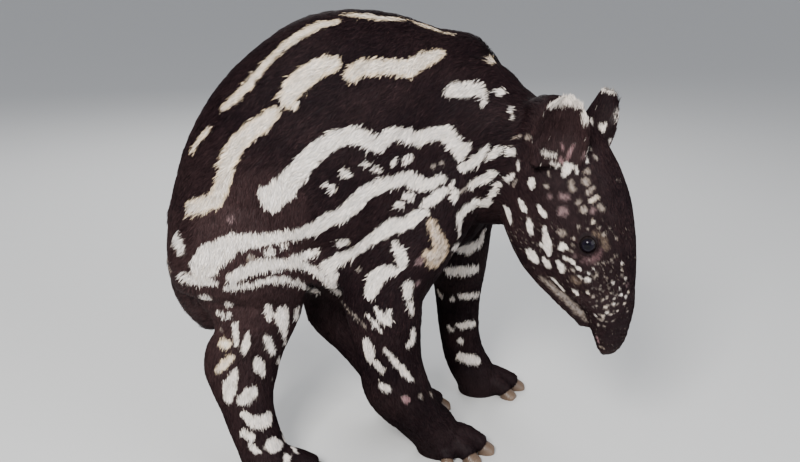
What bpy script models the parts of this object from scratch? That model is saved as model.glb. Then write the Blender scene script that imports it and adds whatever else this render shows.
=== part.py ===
# A malayan tapir calf at life size, standing with its back arched and its head hung low.
# Metres, +Z up. The floor is z = 0 and the origin lies on it, under the middle of the animal.
# The whole body is modelled as one form, then parted with thin gaps into its named pieces.

import math

import bpy
import bmesh
from mathutils import Matrix, Vector

for item in list(bpy.data.objects):
    bpy.data.objects.remove(item, do_unlink=True)

# Driving sizes
GAP = 0.0003              # clearance that neighbouring pieces keep
VOXEL = 0.0024            # grain of the form before it is simplified
SOFTEN = 7                # passes that blend one muscle into the next
SKIN_FACES = 6400         # triangles kept on the whole skin
FLOOR_DEPTH = 0.05        # depth of the block that trims the soles flat

# The trunk points 10 degrees to the left of +X, the head turns back to the right
ORIGIN = Vector((-0.0111, 0.9512, 0.0))
TRUNK_BASE = Vector((-0.058, 0.950, 0.0)) - ORIGIN
TRUNK_TURN = math.radians(10)
TRUNK_FORE = Vector((math.cos(TRUNK_TURN), math.sin(TRUNK_TURN), 0))
TRUNK_LEFT = Vector((-math.sin(TRUNK_TURN), math.cos(TRUNK_TURN), 0))
UP = Vector((0, 0, 1))

HEAD_MIDDLE = Vector((0.2002, 0.8505, 0.276)) - ORIGIN    # half way between the eyes
HEAD_TURN = math.radians(-33)
HEAD_HANG = math.radians(6)
HEAD_AHEAD = Vector((math.cos(HEAD_TURN), math.sin(HEAD_TURN), 0))
HEAD_RIGHT = Vector((math.sin(HEAD_TURN), -math.cos(HEAD_TURN), 0))
HEAD_DOWN = math.sin(HEAD_HANG) * HEAD_AHEAD - math.cos(HEAD_HANG) * UP       # poll to nose
HEAD_BROW = math.cos(HEAD_HANG) * HEAD_AHEAD + math.sin(HEAD_HANG) * UP       # out of the brow

EYE_RADIUS = 0.0105
EYE_SEAT = (0.000, 0.0035, 0.0345)     # down, brow, sideways from the middle of the head
EYE_OUT = (0.10, 0.30, 0.95)           # the way the eye looks, in the same directions
EYE_PROUD = 0.0022
EYE_SLIT = (0.0080, 0.0066)            # half length and half height of the ring of lids
LID_THICK = 0.0021
EAR_HEIGHT = 0.071
EAR_WIDTH = 0.057
EAR_TIP = 0.006           # how far the tip bends to the brow
EAR_CUP = 0.019
EAR_WALL = 0.0036
EAR_FLOOR = 0.42          # share of the height that the floor of the cup fills
EAR_SEAT = (-0.0875, -0.0195, 0.0450)
EAR_LEAN = {1: (0.17, 0.16), -1: (0.22, 0.24)}     # to the brow and sideways, right and left
NAIL_LENGTH = 0.0190
NAIL_WIDTH = 0.0222
NAIL_HEIGHT = 0.0190
NAIL_GAP = 0.0005

# Trunk sections from rump to chest: along, height, lean, to the back, to the belly, half width
TRUNK = (
    (-0.088, 0.205, 128, 0.100, 0.040, 0.046),
    (-0.088, 0.224, 112, 0.115, 0.045, 0.059),
    (-0.088, 0.244, 94, 0.114, 0.058, 0.070),
    (-0.078, 0.268, 70, 0.119, 0.070, 0.079),
    (-0.060, 0.290, 45, 0.138, 0.090, 0.085),
    (-0.040, 0.305, 25, 0.157, 0.108, 0.088),
    (-0.010, 0.315, 8, 0.177, 0.123, 0.089),
    (0.030, 0.320, -4, 0.173, 0.126, 0.087),
    (0.072, 0.315, -10, 0.163, 0.118, 0.082),
    (0.110, 0.311, -14, 0.157, 0.105, 0.072),
    (0.138, 0.304, -20, 0.124, 0.086, 0.055),
)

# Limbs from the body to the ground: x, y, z, half width across, to the front, to the back
HIND_RIGHT = (
    (-0.150, 0.904, 0.285, 0.048, 0.058, 0.080),
    (-0.150, 0.893, 0.240, 0.048, 0.062, 0.098),
    (-0.155, 0.896, 0.196, 0.037, 0.053, 0.086),
    (-0.160, 0.890, 0.173, 0.033, 0.049, 0.061),
    (-0.166, 0.882, 0.153, 0.030, 0.045, 0.038),
    (-0.170, 0.875, 0.136, 0.028, 0.043, 0.042),
    (-0.171, 0.868, 0.116, 0.026, 0.040, 0.042),
    (-0.166, 0.856, 0.082, 0.023, 0.030, 0.030),
    (-0.154, 0.847, 0.045, 0.023, 0.026, 0.026),
    (-0.144, 0.842, 0.018, 0.025, 0.027, 0.027),
    (-0.139, 0.841, -0.006, 0.024, 0.025, 0.027),
)
HIND_LEFT = (
    (-0.160, 0.968, 0.285, 0.046, 0.058, 0.072),
    (-0.125, 0.975, 0.245, 0.047, 0.060, 0.078),
    (-0.070, 0.984, 0.208, 0.041, 0.048, 0.062),
    (-0.075, 0.990, 0.170, 0.032, 0.040, 0.042),
    (-0.080, 0.993, 0.138, 0.027, 0.034, 0.036),
    (-0.052, 0.993, 0.098, 0.023, 0.027, 0.029),
    (-0.020, 0.992, 0.052, 0.023, 0.026, 0.026),
    (-0.002, 0.992, 0.020, 0.025, 0.027, 0.027),
    (0.004, 0.992, -0.006, 0.024, 0.025, 0.027),
)
FORE_RIGHT = (
    (0.048, 0.926, 0.330, 0.040, 0.060, 0.060),
    (0.020, 0.905, 0.272, 0.040, 0.050, 0.058),
    (-0.014, 0.892, 0.212, 0.037, 0.046, 0.050),
    (-0.016, 0.886, 0.170, 0.034, 0.041, 0.042),
    (-0.011, 0.884, 0.120, 0.030, 0.037, 0.037),
    (-0.001, 0.884, 0.086, 0.030, 0.037, 0.039),
    (0.022, 0.890, 0.052, 0.026, 0.029, 0.032),
    (0.043, 0.898, 0.022, 0.027, 0.027, 0.030),
    (0.051, 0.901, -0.006, 0.025, 0.025, 0.030),
)
FORE_LEFT = (
    (0.066, 0.996, 0.320, 0.040, 0.055, 0.055),
    (0.068, 1.003, 0.245, 0.037, 0.044, 0.046),
    (0.072, 1.014, 0.185, 0.032, 0.034, 0.036),
    (0.073, 1.026, 0.134, 0.027, 0.028, 0.029),
    (0.077, 1.036, 0.085, 0.025, 0.026, 0.027),
    (0.087, 1.042, 0.048, 0.024, 0.026, 0.027),
    (0.101, 1.046, 0.020, 0.026, 0.026, 0.028),
    (0.106, 1.047, -0.006, 0.024, 0.025, 0.028),
)

# Foot plans: heading, toes as (turn to the animal's right, reach, size)
FORE_TOES = ((-37, 0.044, 0.90), (0, 0.052, 1.0), (36, 0.045, 0.90), (80, 0.036, 0.72))
HIND_TOES = ((-37, 0.044, 0.90), (0, 0.053, 1.05), (37, 0.044, 0.90))
LIMBS = {
    "leg_hind_right": (HIND_RIGHT, 14, HIND_TOES, 1),
    "leg_hind_left": (HIND_LEFT, 8, HIND_TOES, -1),
    "leg_fore_right": (FORE_RIGHT, -6, FORE_TOES, 1),
    "leg_fore_left": (FORE_LEFT, 6, FORE_TOES, -1),
}

# Where each limb parts from the trunk: x, y, z, half width, half depth, from top to floor
ROOMS = {
    "leg_hind_right": ((-0.146, 0.868, 0.300, 0.052, 0.062), (-0.160, 0.862, 0.170, 0.050, 0.066),
                       (-0.135, 0.838, -0.020, 0.060, 0.080)),
    "leg_hind_left": ((-0.130, 0.998, 0.295, 0.050, 0.060), (-0.080, 0.995, 0.190, 0.045, 0.062),
                      (0.005, 0.992, -0.020, 0.042, 0.075)),
    "leg_fore_right": ((0.034, 0.890, 0.315, 0.046, 0.050), (-0.012, 0.882, 0.195, 0.048, 0.062),
                       (0.045, 0.898, -0.020, 0.055, 0.085)),
    "leg_fore_left": ((0.066, 1.012, 0.300, 0.046, 0.046), (0.073, 1.016, 0.190, 0.042, 0.046),
                      (0.108, 1.052, -0.020, 0.045, 0.066)),
}

# Head sections from poll to nose: down, brow edge, throat edge, half width
SKULL = (
    (-0.128, -0.016, -0.072, 0.026),
    (-0.102, 0.008, -0.089, 0.036),
    (-0.072, 0.025, -0.102, 0.044),
    (-0.038, 0.036, -0.103, 0.044),
    (-0.003, 0.040, -0.099, 0.042),
    (0.028, 0.040, -0.078, 0.037),
    (0.054, 0.038, -0.046, 0.031),
    (0.075, 0.036, -0.018, 0.026),
    (0.094, 0.031, -0.011, 0.021),
    (0.110, 0.026, -0.006, 0.017),
    (0.121, 0.019, -0.003, 0.0125),
)
JAW = (
    (-0.010, -0.018, -0.102, 0.040),
    (0.025, -0.020, -0.088, 0.033),
    (0.050, -0.018, -0.070, 0.026),
    (0.070, -0.013, -0.051, 0.020),
    (0.086, -0.009, -0.034, 0.015),
    (0.094, -0.011, -0.027, 0.010),
)

# Neck from the shoulders to the back of the head: x, y, z, half width, half height
NECK = (
    (0.030, 0.962, 0.345, 0.066, 0.112),
    (0.075, 0.948, 0.350, 0.062, 0.102),
    (0.113, 0.924, 0.342, 0.056, 0.079),
    (0.148, 0.894, 0.335, 0.048, 0.066),
)

# Mouth line from its corner to the front of the lips: down, brow, half width
MOUTH = ((0.062, -0.0105, 0.031), (0.078, -0.0125, 0.024), (0.092, -0.0150, 0.016), (0.100, -0.0170, 0.004))
MOUTH_GAPE = 0.0012
LIP_THICK = 0.0036
NOSTRIL = (0.1210, 0.0035, 0.0055)      # down, brow, sideways
NOSTRIL_HALVES = (0.0085, 0.0042, 0.0036)

# Tail stub, swung a little to the left: along, left, height, half thickness
TAIL = ((-0.168, 0.000, 0.310, 0.0120), (-0.187, 0.005, 0.292, 0.0120),
        (-0.194, 0.014, 0.270, 0.0110), (-0.192, 0.024, 0.249, 0.0090))

# Flat faces that part the head, the neck and the snout
HEAD_FACE = (-0.0675, -0.0775)          # down, brow
HEAD_FACE_OUT = (0.377, 0.926)
NECK_FACE = (0.106, 0.950, 0.350)
NECK_FACE_TURN = -10
SNOUT_FACE = (0.0725, 0.014)
SNOUT_FACE_OUT = (0.756, 0.654)

SKIN = (0.030, 0.022, 0.020, 1.0)
SNOUT = (0.060, 0.045, 0.045, 1.0)
NAIL = (0.200, 0.140, 0.090, 1.0)
EYE = (0.015, 0.012, 0.018, 1.0)


def material(name, colour, roughness):
    made = bpy.data.materials.new(name)
    made.use_nodes = True
    shader = made.node_tree.nodes["Principled BSDF"]
    shader.inputs["Base Color"].default_value = colour
    shader.inputs["Roughness"].default_value = roughness
    shader.inputs["Metallic"].default_value = 0.0
    return made


def stage(x, y, z):
    return Vector((x, y, z)) - ORIGIN


def trunk_point(along, left, height):
    return TRUNK_BASE + along * TRUNK_FORE + left * TRUNK_LEFT + height * UP


def head_point(down, brow, right):
    return HEAD_MIDDLE + down * HEAD_DOWN + brow * HEAD_BROW + right * HEAD_RIGHT


def eased(rows, steps):
    """Reads a smooth curve through rows of sizes."""
    result = []
    for index in range(len(rows) - 1):
        around = [rows[min(max(index + offset, 0), len(rows) - 1)] for offset in (-1, 0, 1, 2)]
        for step in range(steps):
            part = step / steps
            row = []
            for first, second, third, fourth in zip(*around):
                row.append(0.5 * (2 * second + (third - first) * part
                                  + (2 * first - 5 * second + 4 * third - fourth) * part ** 2
                                  + (3 * second - first - 3 * third + fourth) * part ** 3))
            result.append(row)
    result.append(list(rows[-1]))
    return result


def oval(centre, across, ahead, wide, front, back, sides, pinch=0.0):
    """One closed ring, with its own reach to the front and to the back."""
    ring = []
    for step in range(sides):
        turn = 2 * math.pi * step / sides
        reach = front if math.sin(turn) > 0 else back
        narrow = 1.0 - pinch * max(math.sin(turn), 0.0)
        ring.append(centre + across * wide * narrow * math.cos(turn) + ahead * reach * math.sin(turn))
    return ring


def domed(rings, start, end):
    """Rounds both ends of a row of rings, each by its own height."""
    middles = [sum(ring, Vector()) / len(ring) for ring in rings]
    first = (middles[0] - middles[1]).normalized() * start
    last = (middles[-1] - middles[-2]).normalized() * end
    caps = []
    for ring, middle, rise in ((rings[0], middles[0], first), (rings[-1], middles[-1], last)):
        cap = []
        for angle in (30, 55, 75):
            shrink = math.cos(math.radians(angle))
            lift = rise * math.sin(math.radians(angle))
            cap.append([middle + (point - middle) * shrink + lift for point in ring])
        caps.append(cap)
    return caps[0][::-1] + rings + caps[1]


def shell(mesh, rings):
    """Adds one closed body, skinned over a row of rings."""
    rows = [[mesh.verts.new(point) for point in ring] for ring in rings]
    sides = len(rows[0])
    for row, after in zip(rows, rows[1:]):
        for step in range(sides):
            beside = (step + 1) % sides
            mesh.faces.new((row[step], row[beside], after[beside], after[step]))
    mesh.faces.new(rows[0][::-1])
    mesh.faces.new(rows[-1])


def solid(name, mesh):
    """Turns mesh data into an object whose faces point out."""
    mesh.normal_update()
    bmesh.ops.recalc_face_normals(mesh, faces=mesh.faces)
    data = bpy.data.meshes.new(name)
    mesh.to_mesh(data)
    mesh.free()
    made = bpy.data.objects.new(name, data)
    bpy.context.scene.collection.objects.link(made)
    return made


def settle(thing):
    """Replaces an object's mesh by what its modifiers make of it."""
    graph = bpy.context.evaluated_depsgraph_get()
    data = bpy.data.meshes.new_from_object(thing.evaluated_get(graph))
    thing.modifiers.clear()
    thing.data = data
    return thing


def copy_of(thing, name):
    twin = bpy.data.objects.new(name, thing.data.copy())
    bpy.context.scene.collection.objects.link(twin)
    return twin


def drop(*things):
    for thing in things:
        bpy.data.objects.remove(thing, do_unlink=True)


def combine(thing, tool, operation, solver="EXACT"):
    """One Boolean with one other closed body, applied."""
    step = thing.modifiers.new(operation.lower(), "BOOLEAN")
    step.operation = operation
    step.solver = solver
    step.object = tool
    bpy.context.view_layer.update()
    return settle(thing)


def largest(thing):
    """Keeps the largest closed surface and drops loose scraps."""
    mesh = bmesh.new()
    mesh.from_mesh(thing.data)
    left = set(mesh.faces)
    groups = []
    while left:
        seed = left.pop()
        group = {seed}
        front = [seed]
        while front:
            face = front.pop()
            for edge in face.edges:
                for other in edge.link_faces:
                    if other in left:
                        left.remove(other)
                        group.add(other)
                        front.append(other)
        groups.append(group)
    groups.sort(key=lambda group: sum(face.calc_area() for face in group))
    scraps = [face for group in groups[:-1] for face in group]
    bmesh.ops.delete(mesh, geom=scraps, context="FACES")
    mesh.to_mesh(thing.data)
    mesh.free()
    return thing


def limb_rings(rows, sides, heading):
    """Rings square to a limb's path, their front turned the way the foot points."""
    rows = eased(rows, 4)
    points = [stage(*row[:3]) for row in rows]
    ahead = Vector((math.cos(heading), math.sin(heading), 0))
    rings = []
    for index, row in enumerate(rows):
        before = points[max(index - 1, 0)]
        after = points[min(index + 1, len(points) - 1)]
        path = (after - before).normalized()
        if index == len(points) - 1:
            path = -UP
        front = (ahead - ahead.dot(path) * path).normalized()
        across = path.cross(front)
        rings.append(oval(points[index], across, front, row[3], row[4], row[5], sides))
    return rings


def toe_places(limb):
    """Each toe's direction, foot middle and size."""
    rows, turn, toes, side = LIMBS[limb]
    middle = stage(rows[-1][0], rows[-1][1], 0)
    for swing, reach, size in toes:
        angle = math.radians(turn - side * swing)
        yield middle, Vector((math.cos(angle), math.sin(angle), 0)), reach, size


def toe_rings(middle, ahead, reach, size, sides):
    """A stubby toe, from inside the foot out to its tip."""
    across = UP.cross(ahead)
    tilt = (ahead - 0.45 * UP).normalized()
    lift = tilt.cross(across)
    rings = []
    for part, half in ((0.25, 0.0155), (0.55, 0.0142), (0.82, 0.0118)):
        centre = middle + ahead * reach * part + UP * (0.026 - 0.020 * part) * size
        rings.append(oval(centre, across, lift, half * size, half * size, half * size, sides))
    return domed(rings, 0.004, 0.006)


def nail_body(name, middle, ahead, reach, size, grow):
    """A small hoof wrapped round the tip of a toe, flat on the floor."""
    across = UP.cross(ahead)
    length = NAIL_LENGTH * size
    root = middle + ahead * (reach - 0.66 * length)
    rings = []
    for part, fill in ((0.0, 0.82), (0.30, 0.97), (0.60, 1.0), (0.85, 0.86), (1.0, 0.58)):
        rise = NAIL_HEIGHT * size * (1.0 - 0.62 * part) * (0.6 + 0.4 * fill) + grow
        wide = NAIL_WIDTH * size * 0.5 * fill + grow
        shift = (part - 0.5) * 2 * grow
        centre = root + ahead * (length * part + shift)
        ring = []
        for step in range(7):
            turn = math.pi * step / 6
            ring.append(centre + across * wide * math.cos(turn) + UP * rise * math.sin(turn))
        ring.append(centre - across * wide - UP * grow)
        ring.append(centre + across * wide - UP * grow)
        rings.append(ring)
    if grow == 0.0:
        rings = [ring[:7] for ring in rings]
    mesh = bmesh.new()
    shell(mesh, rings)
    bmesh.ops.triangulate(mesh, faces=mesh.faces, quad_method="FIXED")
    return solid(name, mesh)


def body_form():
    """Trunk, neck, head, limbs and tail as overlapping forms, blended into one skin."""
    mesh = bmesh.new()
    rings = []
    for along, height, lean, back, belly, wide in eased(TRUNK, 4):
        angle = math.radians(lean)
        dorsal = math.cos(angle) * UP - math.sin(angle) * TRUNK_FORE
        rings.append(oval(trunk_point(along, 0, height), TRUNK_LEFT, dorsal, wide, back, belly, 32, 0.10))
    shell(mesh, domed(rings, 0.014, 0.040))

    neck = eased(NECK, 3)
    points = [stage(*row[:3]) for row in neck]
    rings = []
    for index, row in enumerate(neck):
        path = (points[min(index + 1, len(neck) - 1)] - points[max(index - 1, 0)]).normalized()
        across = UP.cross(path).normalized()
        rings.append(oval(points[index], across, path.cross(across), row[3], row[4], row[4], 28, 0.08))
    shell(mesh, domed(rings, 0.03, 0.03))

    for rows, pinch, start, end in ((SKULL, 0.12, 0.018, 0.006), (JAW, 0.0, 0.02, 0.006)):
        rings = []
        for down, brow, throat, wide in eased(rows, 4):
            middle = head_point(down, (brow + throat) / 2, 0)
            half = (brow - throat) / 2
            rings.append(oval(middle, HEAD_RIGHT, HEAD_BROW, wide, half, half, 28, pinch))
        shell(mesh, domed(rings, start, end))

    for limb, (rows, turn, toes, side) in LIMBS.items():
        shell(mesh, domed(limb_rings(rows, 20, math.radians(turn)), 0.03, 0.002))
        for middle, ahead, reach, size in toe_places(limb):
            shell(mesh, toe_rings(middle, ahead, reach, size, 14))

    for side in (-1, 1):
        for raised in (-1, 1):
            rings = []
            for down, brow, wide in eased(MOUTH, 3):
                middle = head_point(down, brow + raised * LIP_THICK, side * wide * 0.86)
                rings.append(oval(middle, HEAD_RIGHT, HEAD_BROW, LIP_THICK, LIP_THICK, LIP_THICK, 12))
            shell(mesh, domed(rings, 0.003, 0.003))

    body = solid("body", mesh)
    grain = body.modifiers.new("blend", "REMESH")
    grain.mode = "VOXEL"
    grain.voxel_size = VOXEL
    grain.adaptivity = 0.0
    soft = body.modifiers.new("soften", "SMOOTH")
    soft.factor = 0.5
    soft.iterations = SOFTEN
    settle(body)
    simple = body.modifiers.new("simplify", "DECIMATE")
    simple.ratio = SKIN_FACES / (2 * len(body.data.polygons))
    return settle(body)


def block(name, centre, axes, halves):
    """A box by its middle, its three directions and half sizes."""
    mesh = bmesh.new()
    bmesh.ops.create_cube(mesh, size=2.0)
    turn = Matrix((axes[0] * halves[0], axes[1] * halves[1], axes[2] * halves[2])).transposed()
    for vert in mesh.verts:
        vert.co = centre + turn @ vert.co
    return solid(name, mesh)


def slice_block(name, face, outward, sideways, reach, half, grow):
    """A box that starts at a flat face and runs outward from it."""
    third = outward.cross(sideways)
    centre = face + outward * (reach / 2 - grow)
    return block(name, centre, (outward, sideways, third), (reach / 2, half, half))


def ball(name, centre, axes, halves, rings, sides):
    mesh = bmesh.new()
    bmesh.ops.create_uvsphere(mesh, u_segments=sides, v_segments=rings, radius=1.0)
    turn = Matrix((axes[0] * halves[0], axes[1] * halves[1], axes[2] * halves[2])).transposed()
    for vert in mesh.verts:
        vert.co = centre + turn @ vert.co
    return solid(name, mesh)


def room_body(limb, grow):
    """The space that parts a limb from the trunk."""
    heading = math.radians(LIMBS[limb][1])
    rings = []
    for x, y, z, wide, deep in ROOMS[limb]:
        across = Vector((-math.sin(heading), math.cos(heading), 0))
        ahead = Vector((math.cos(heading), math.sin(heading), 0))
        rings.append(oval(stage(x, y, z), across, ahead, wide + grow, deep + grow, deep + grow, 20))
    mesh = bmesh.new()
    shell(mesh, domed(rings, 0.045 + grow, 0.004))
    bmesh.ops.triangulate(mesh, faces=mesh.faces, quad_method="FIXED")
    return solid("room", mesh)


def part_off(body, name, room, grown):
    """Takes the piece inside a room off the body, which keeps clear of it."""
    piece = copy_of(body, name)
    combine(piece, room, "INTERSECT")
    combine(body, grown, "DIFFERENCE")
    drop(room, grown)
    largest(piece)
    largest(body)
    return piece


def ear_body(name, side):
    """A broad cup of skin, its hollow turned outward and a little ahead."""
    seat = head_point(EAR_SEAT[0], EAR_SEAT[1], side * EAR_SEAT[2])
    brow, sideways = EAR_LEAN[side]
    rise = (-HEAD_DOWN + HEAD_RIGHT * side * sideways + HEAD_BROW * brow).normalized()
    opening = (HEAD_RIGHT * side * 0.86 + HEAD_BROW * 0.50)
    opening = (opening - opening.dot(rise) * rise).normalized()
    across = rise.cross(opening)
    columns, rows = 11, 9
    faces = []
    for inner in (False, True):
        grid = []
        for row in range(rows):
            up = row / (rows - 1)
            spread = (1.0 - abs((up - 0.36) / 0.66) ** 1.9) ** 0.5
            wall = EAR_WALL * (1.0 - 0.45 * up)
            fill = max(1.0 - up / EAR_FLOOR, 0.0)
            line = []
            for column in range(columns):
                over = 2 * column / (columns - 1) - 1
                curl = math.radians(105 - 60 * up)
                bend = math.sin(over * curl) / math.sin(min(curl, math.pi / 2))
                hollow = (math.cos(over * curl) - math.cos(curl)) / (1 - math.cos(curl))
                half = EAR_WIDTH * 0.5 * spread
                deep = EAR_CUP * hollow * (1.0 - 0.45 * up)
                wall_here = wall + max(deep - wall, 0.0) * fill if inner else 0.0
                point = seat + rise * (EAR_HEIGHT * up - 0.010)
                point += across * (half - (wall if inner else 0.0) * 0.8 * abs(over)) * bend
                point += across * side * EAR_TIP * up ** 2
                point -= opening * (deep - wall_here)
                line.append(point)
            grid.append(line)
        faces.append(grid)
    mesh = bmesh.new()
    outer, inner = [[[mesh.verts.new(p) for p in line] for line in grid] for grid in faces]
    for row in range(rows - 1):
        for column in range(columns - 1):
            for grid, order in ((outer, 1), (inner, -1)):
                corner = [grid[row][column], grid[row][column + 1]]
                corner += [grid[row + 1][column + 1], grid[row + 1][column]]
                mesh.faces.new(corner[::order])
        for column in (0, columns - 1):
            mesh.faces.new((outer[row][column], outer[row + 1][column],
                            inner[row + 1][column], inner[row][column]))
    for row in (0, rows - 1):
        for column in range(columns - 1):
            mesh.faces.new((outer[row][column], outer[row][column + 1],
                            inner[row][column + 1], inner[row][column]))
    return solid(name, mesh)


def eye_frame(side):
    """The eye's middle and the way it looks."""
    out = HEAD_DOWN * EYE_OUT[0] + HEAD_BROW * EYE_OUT[1] + HEAD_RIGHT * side * EYE_OUT[2]
    out = out.normalized()
    seat = head_point(EYE_SEAT[0], EYE_SEAT[1], side * EYE_SEAT[2])
    return seat - out * (EYE_RADIUS - EYE_PROUD), out


def lid_ring(side):
    """The rim of both lids, one closed ring lying on the eyeball."""
    middle, out = eye_frame(side)
    along = (HEAD_DOWN - HEAD_DOWN.dot(out) * out).normalized()
    over = out.cross(along)
    mesh = bmesh.new()
    rings = []
    for step in range(28):
        turn = 2 * math.pi * step / 28
        reach = along * EYE_SLIT[0] * math.cos(turn) + over * EYE_SLIT[1] * math.sin(turn)
        drop_back = math.sqrt((EYE_RADIUS + LID_THICK * 0.35) ** 2 - reach.length_squared)
        centre = middle + reach + out * drop_back
        away = reach.normalized()
        rings.append([mesh.verts.new(point) for point in oval(centre, away, out, *[LID_THICK] * 3, 8)])
    for index, ring in enumerate(rings):
        after = rings[(index + 1) % len(rings)]
        for step in range(8):
            beside = (step + 1) % 8
            mesh.faces.new((ring[step], ring[beside], after[beside], after[step]))
    return solid("lids", mesh)


def mouth_slit():
    """A thin bent plate that parts the lips."""
    mesh = bmesh.new()
    rings = []
    line = list(MOUTH) + [(0.112, -0.0200, 0.004)]
    for down, brow, wide in eased(line, 2):
        half = 0.040
        ring = []
        for across, lift in ((-half, -1), (half, -1), (half, 1), (-half, 1)):
            ring.append(head_point(down, brow + lift * MOUTH_GAPE / 2, across))
        rings.append(ring)
    shell(mesh, rings)
    return solid("slit", mesh)


def fit_on(piece, body):
    """Cuts a piece back to the skin that it stands on, less the gap."""
    grown = copy_of(body, "grown")
    swell = grown.modifiers.new("swell", "DISPLACE")
    swell.strength = GAP
    swell.mid_level = 0.0
    settle(grown)
    combine(piece, grown, "DIFFERENCE", "MANIFOLD")
    drop(grown)
    return largest(piece)


def tail_body():
    rings = []
    for along, left, height, half in eased(TAIL, 3):
        rings.append(oval(trunk_point(along, left, height), TRUNK_LEFT, TRUNK_FORE, half, half, half, 14))
    mesh = bmesh.new()
    shell(mesh, domed(rings, 0.006, 0.008))
    return solid("tail", mesh)


def head_slice(face, outward, grow):
    """Everything of the head beyond one flat face."""
    out = HEAD_DOWN * outward[0] + HEAD_BROW * outward[1]
    return slice_block("room", head_point(face[0], face[1], 0), out, HEAD_RIGHT, 0.30, 0.16, grow)


def finish(thing, paint):
    thing.data.materials.clear()
    thing.data.materials.append(paint)
    thing.data.shade_smooth()
    thing.data.set_sharp_from_angle(angle=math.radians(50))


def build():
    skin = material("skin", SKIN, 0.85)
    snout = material("snout", SNOUT, 0.6)
    horn = material("nail", NAIL, 0.45)
    wet = material("eye", EYE, 0.08)

    body = body_form()
    floor = block("floor", Vector((0, 0, -FLOOR_DEPTH / 2)),
                  (Vector((1, 0, 0)), Vector((0, 1, 0)), UP), (1.0, 1.0, FLOOR_DEPTH / 2))
    combine(body, floor, "DIFFERENCE")
    drop(floor)

    head_axes = (HEAD_DOWN, HEAD_BROW, HEAD_RIGHT)
    for side, word in ((1, "right"), (-1, "left")):
        lids = lid_ring(side)
        combine(body, lids, "UNION")
        middle, out = eye_frame(side)
        socket = ball("socket", middle, head_axes, [EYE_RADIUS + GAP] * 3, 11, 16)
        combine(body, socket, "DIFFERENCE")
        nostril = ball("nostril", head_point(NOSTRIL[0], NOSTRIL[1], side * NOSTRIL[2]),
                       head_axes, NOSTRIL_HALVES, 8, 12)
        combine(body, nostril, "DIFFERENCE")
        drop(lids, socket, nostril)
        eye = ball("eye_" + word, middle, head_axes, [EYE_RADIUS] * 3, 11, 16)
        finish(eye, wet)
    slit = mouth_slit()
    combine(body, slit, "DIFFERENCE")
    drop(slit)
    largest(body)

    for side, word in ((1, "right"), (-1, "left")):
        finish(fit_on(ear_body("ear_" + word, side), body), skin)
    finish(fit_on(tail_body(), body), skin)

    for limb in LIMBS:
        leg = part_off(body, limb, room_body(limb, 0), room_body(limb, GAP))
        for index, place in enumerate(toe_places(limb)):
            name = limb.replace("leg", "nail") + "_" + str(index + 1)
            nail = nail_body(name, *place, 0.0)
            grown = nail_body("grown", *place, NAIL_GAP)
            combine(leg, grown, "DIFFERENCE", "MANIFOLD")
            drop(grown)
            finish(nail, horn)
        finish(largest(leg), skin)

    head = part_off(body, "head", head_slice(HEAD_FACE, HEAD_FACE_OUT, 0),
                    head_slice(HEAD_FACE, HEAD_FACE_OUT, GAP))
    trunk = part_off(head, "proboscis", head_slice(SNOUT_FACE, SNOUT_FACE_OUT, 0),
                     head_slice(SNOUT_FACE, SNOUT_FACE_OUT, GAP))
    turn = math.radians(NECK_FACE_TURN)
    ahead = Vector((math.cos(turn), math.sin(turn), 0))
    neck = part_off(body, "neck", slice_block("room", stage(*NECK_FACE), ahead, UP, 0.30, 0.25, 0),
                    slice_block("room", stage(*NECK_FACE), ahead, UP, 0.30, 0.25, GAP))
    finish(head, skin)
    finish(trunk, snout)
    finish(neck, skin)
    finish(body, skin)
    body.name = "torso"


build()
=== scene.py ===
import math
import time

import bmesh
import bpy
import numpy as np
from mathutils import Matrix, Vector
from mathutils.bvhtree import BVHTree


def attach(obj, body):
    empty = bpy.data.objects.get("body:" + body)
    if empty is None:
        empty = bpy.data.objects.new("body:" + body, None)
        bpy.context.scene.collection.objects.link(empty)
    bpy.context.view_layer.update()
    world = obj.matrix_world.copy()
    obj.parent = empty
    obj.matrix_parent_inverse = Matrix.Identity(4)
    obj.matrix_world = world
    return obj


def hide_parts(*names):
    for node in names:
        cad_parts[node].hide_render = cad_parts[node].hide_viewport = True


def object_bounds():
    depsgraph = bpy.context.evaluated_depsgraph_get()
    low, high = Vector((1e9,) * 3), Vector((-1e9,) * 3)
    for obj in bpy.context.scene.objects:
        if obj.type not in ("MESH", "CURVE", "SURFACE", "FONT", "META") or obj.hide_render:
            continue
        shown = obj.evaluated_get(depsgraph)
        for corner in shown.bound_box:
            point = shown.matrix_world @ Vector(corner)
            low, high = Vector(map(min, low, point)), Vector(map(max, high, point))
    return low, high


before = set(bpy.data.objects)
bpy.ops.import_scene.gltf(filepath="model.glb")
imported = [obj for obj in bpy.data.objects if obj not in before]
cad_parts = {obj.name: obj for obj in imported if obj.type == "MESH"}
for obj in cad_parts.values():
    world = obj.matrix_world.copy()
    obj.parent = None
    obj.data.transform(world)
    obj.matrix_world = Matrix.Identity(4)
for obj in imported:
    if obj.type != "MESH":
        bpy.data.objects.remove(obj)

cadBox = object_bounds()
startTime = time.time()
chance = np.random.default_rng(7)


def report(stageName):
    print(f"{stageName}: {time.time() - startTime:.1f} s")


# shapes shared with the solids: the same sections, at a finer grain

viewSettings = {"height": 0.55, "pitch": 72.5, "focal": 880.0, "wide": 800, "tall": 462}
origin = Vector((-0.0111, 0.9512, 0.0))
upward = Vector((0, 0, 1))


def turned(degrees):
    angle = math.radians(degrees)
    return Vector((math.cos(angle), math.sin(angle), 0))


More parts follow.
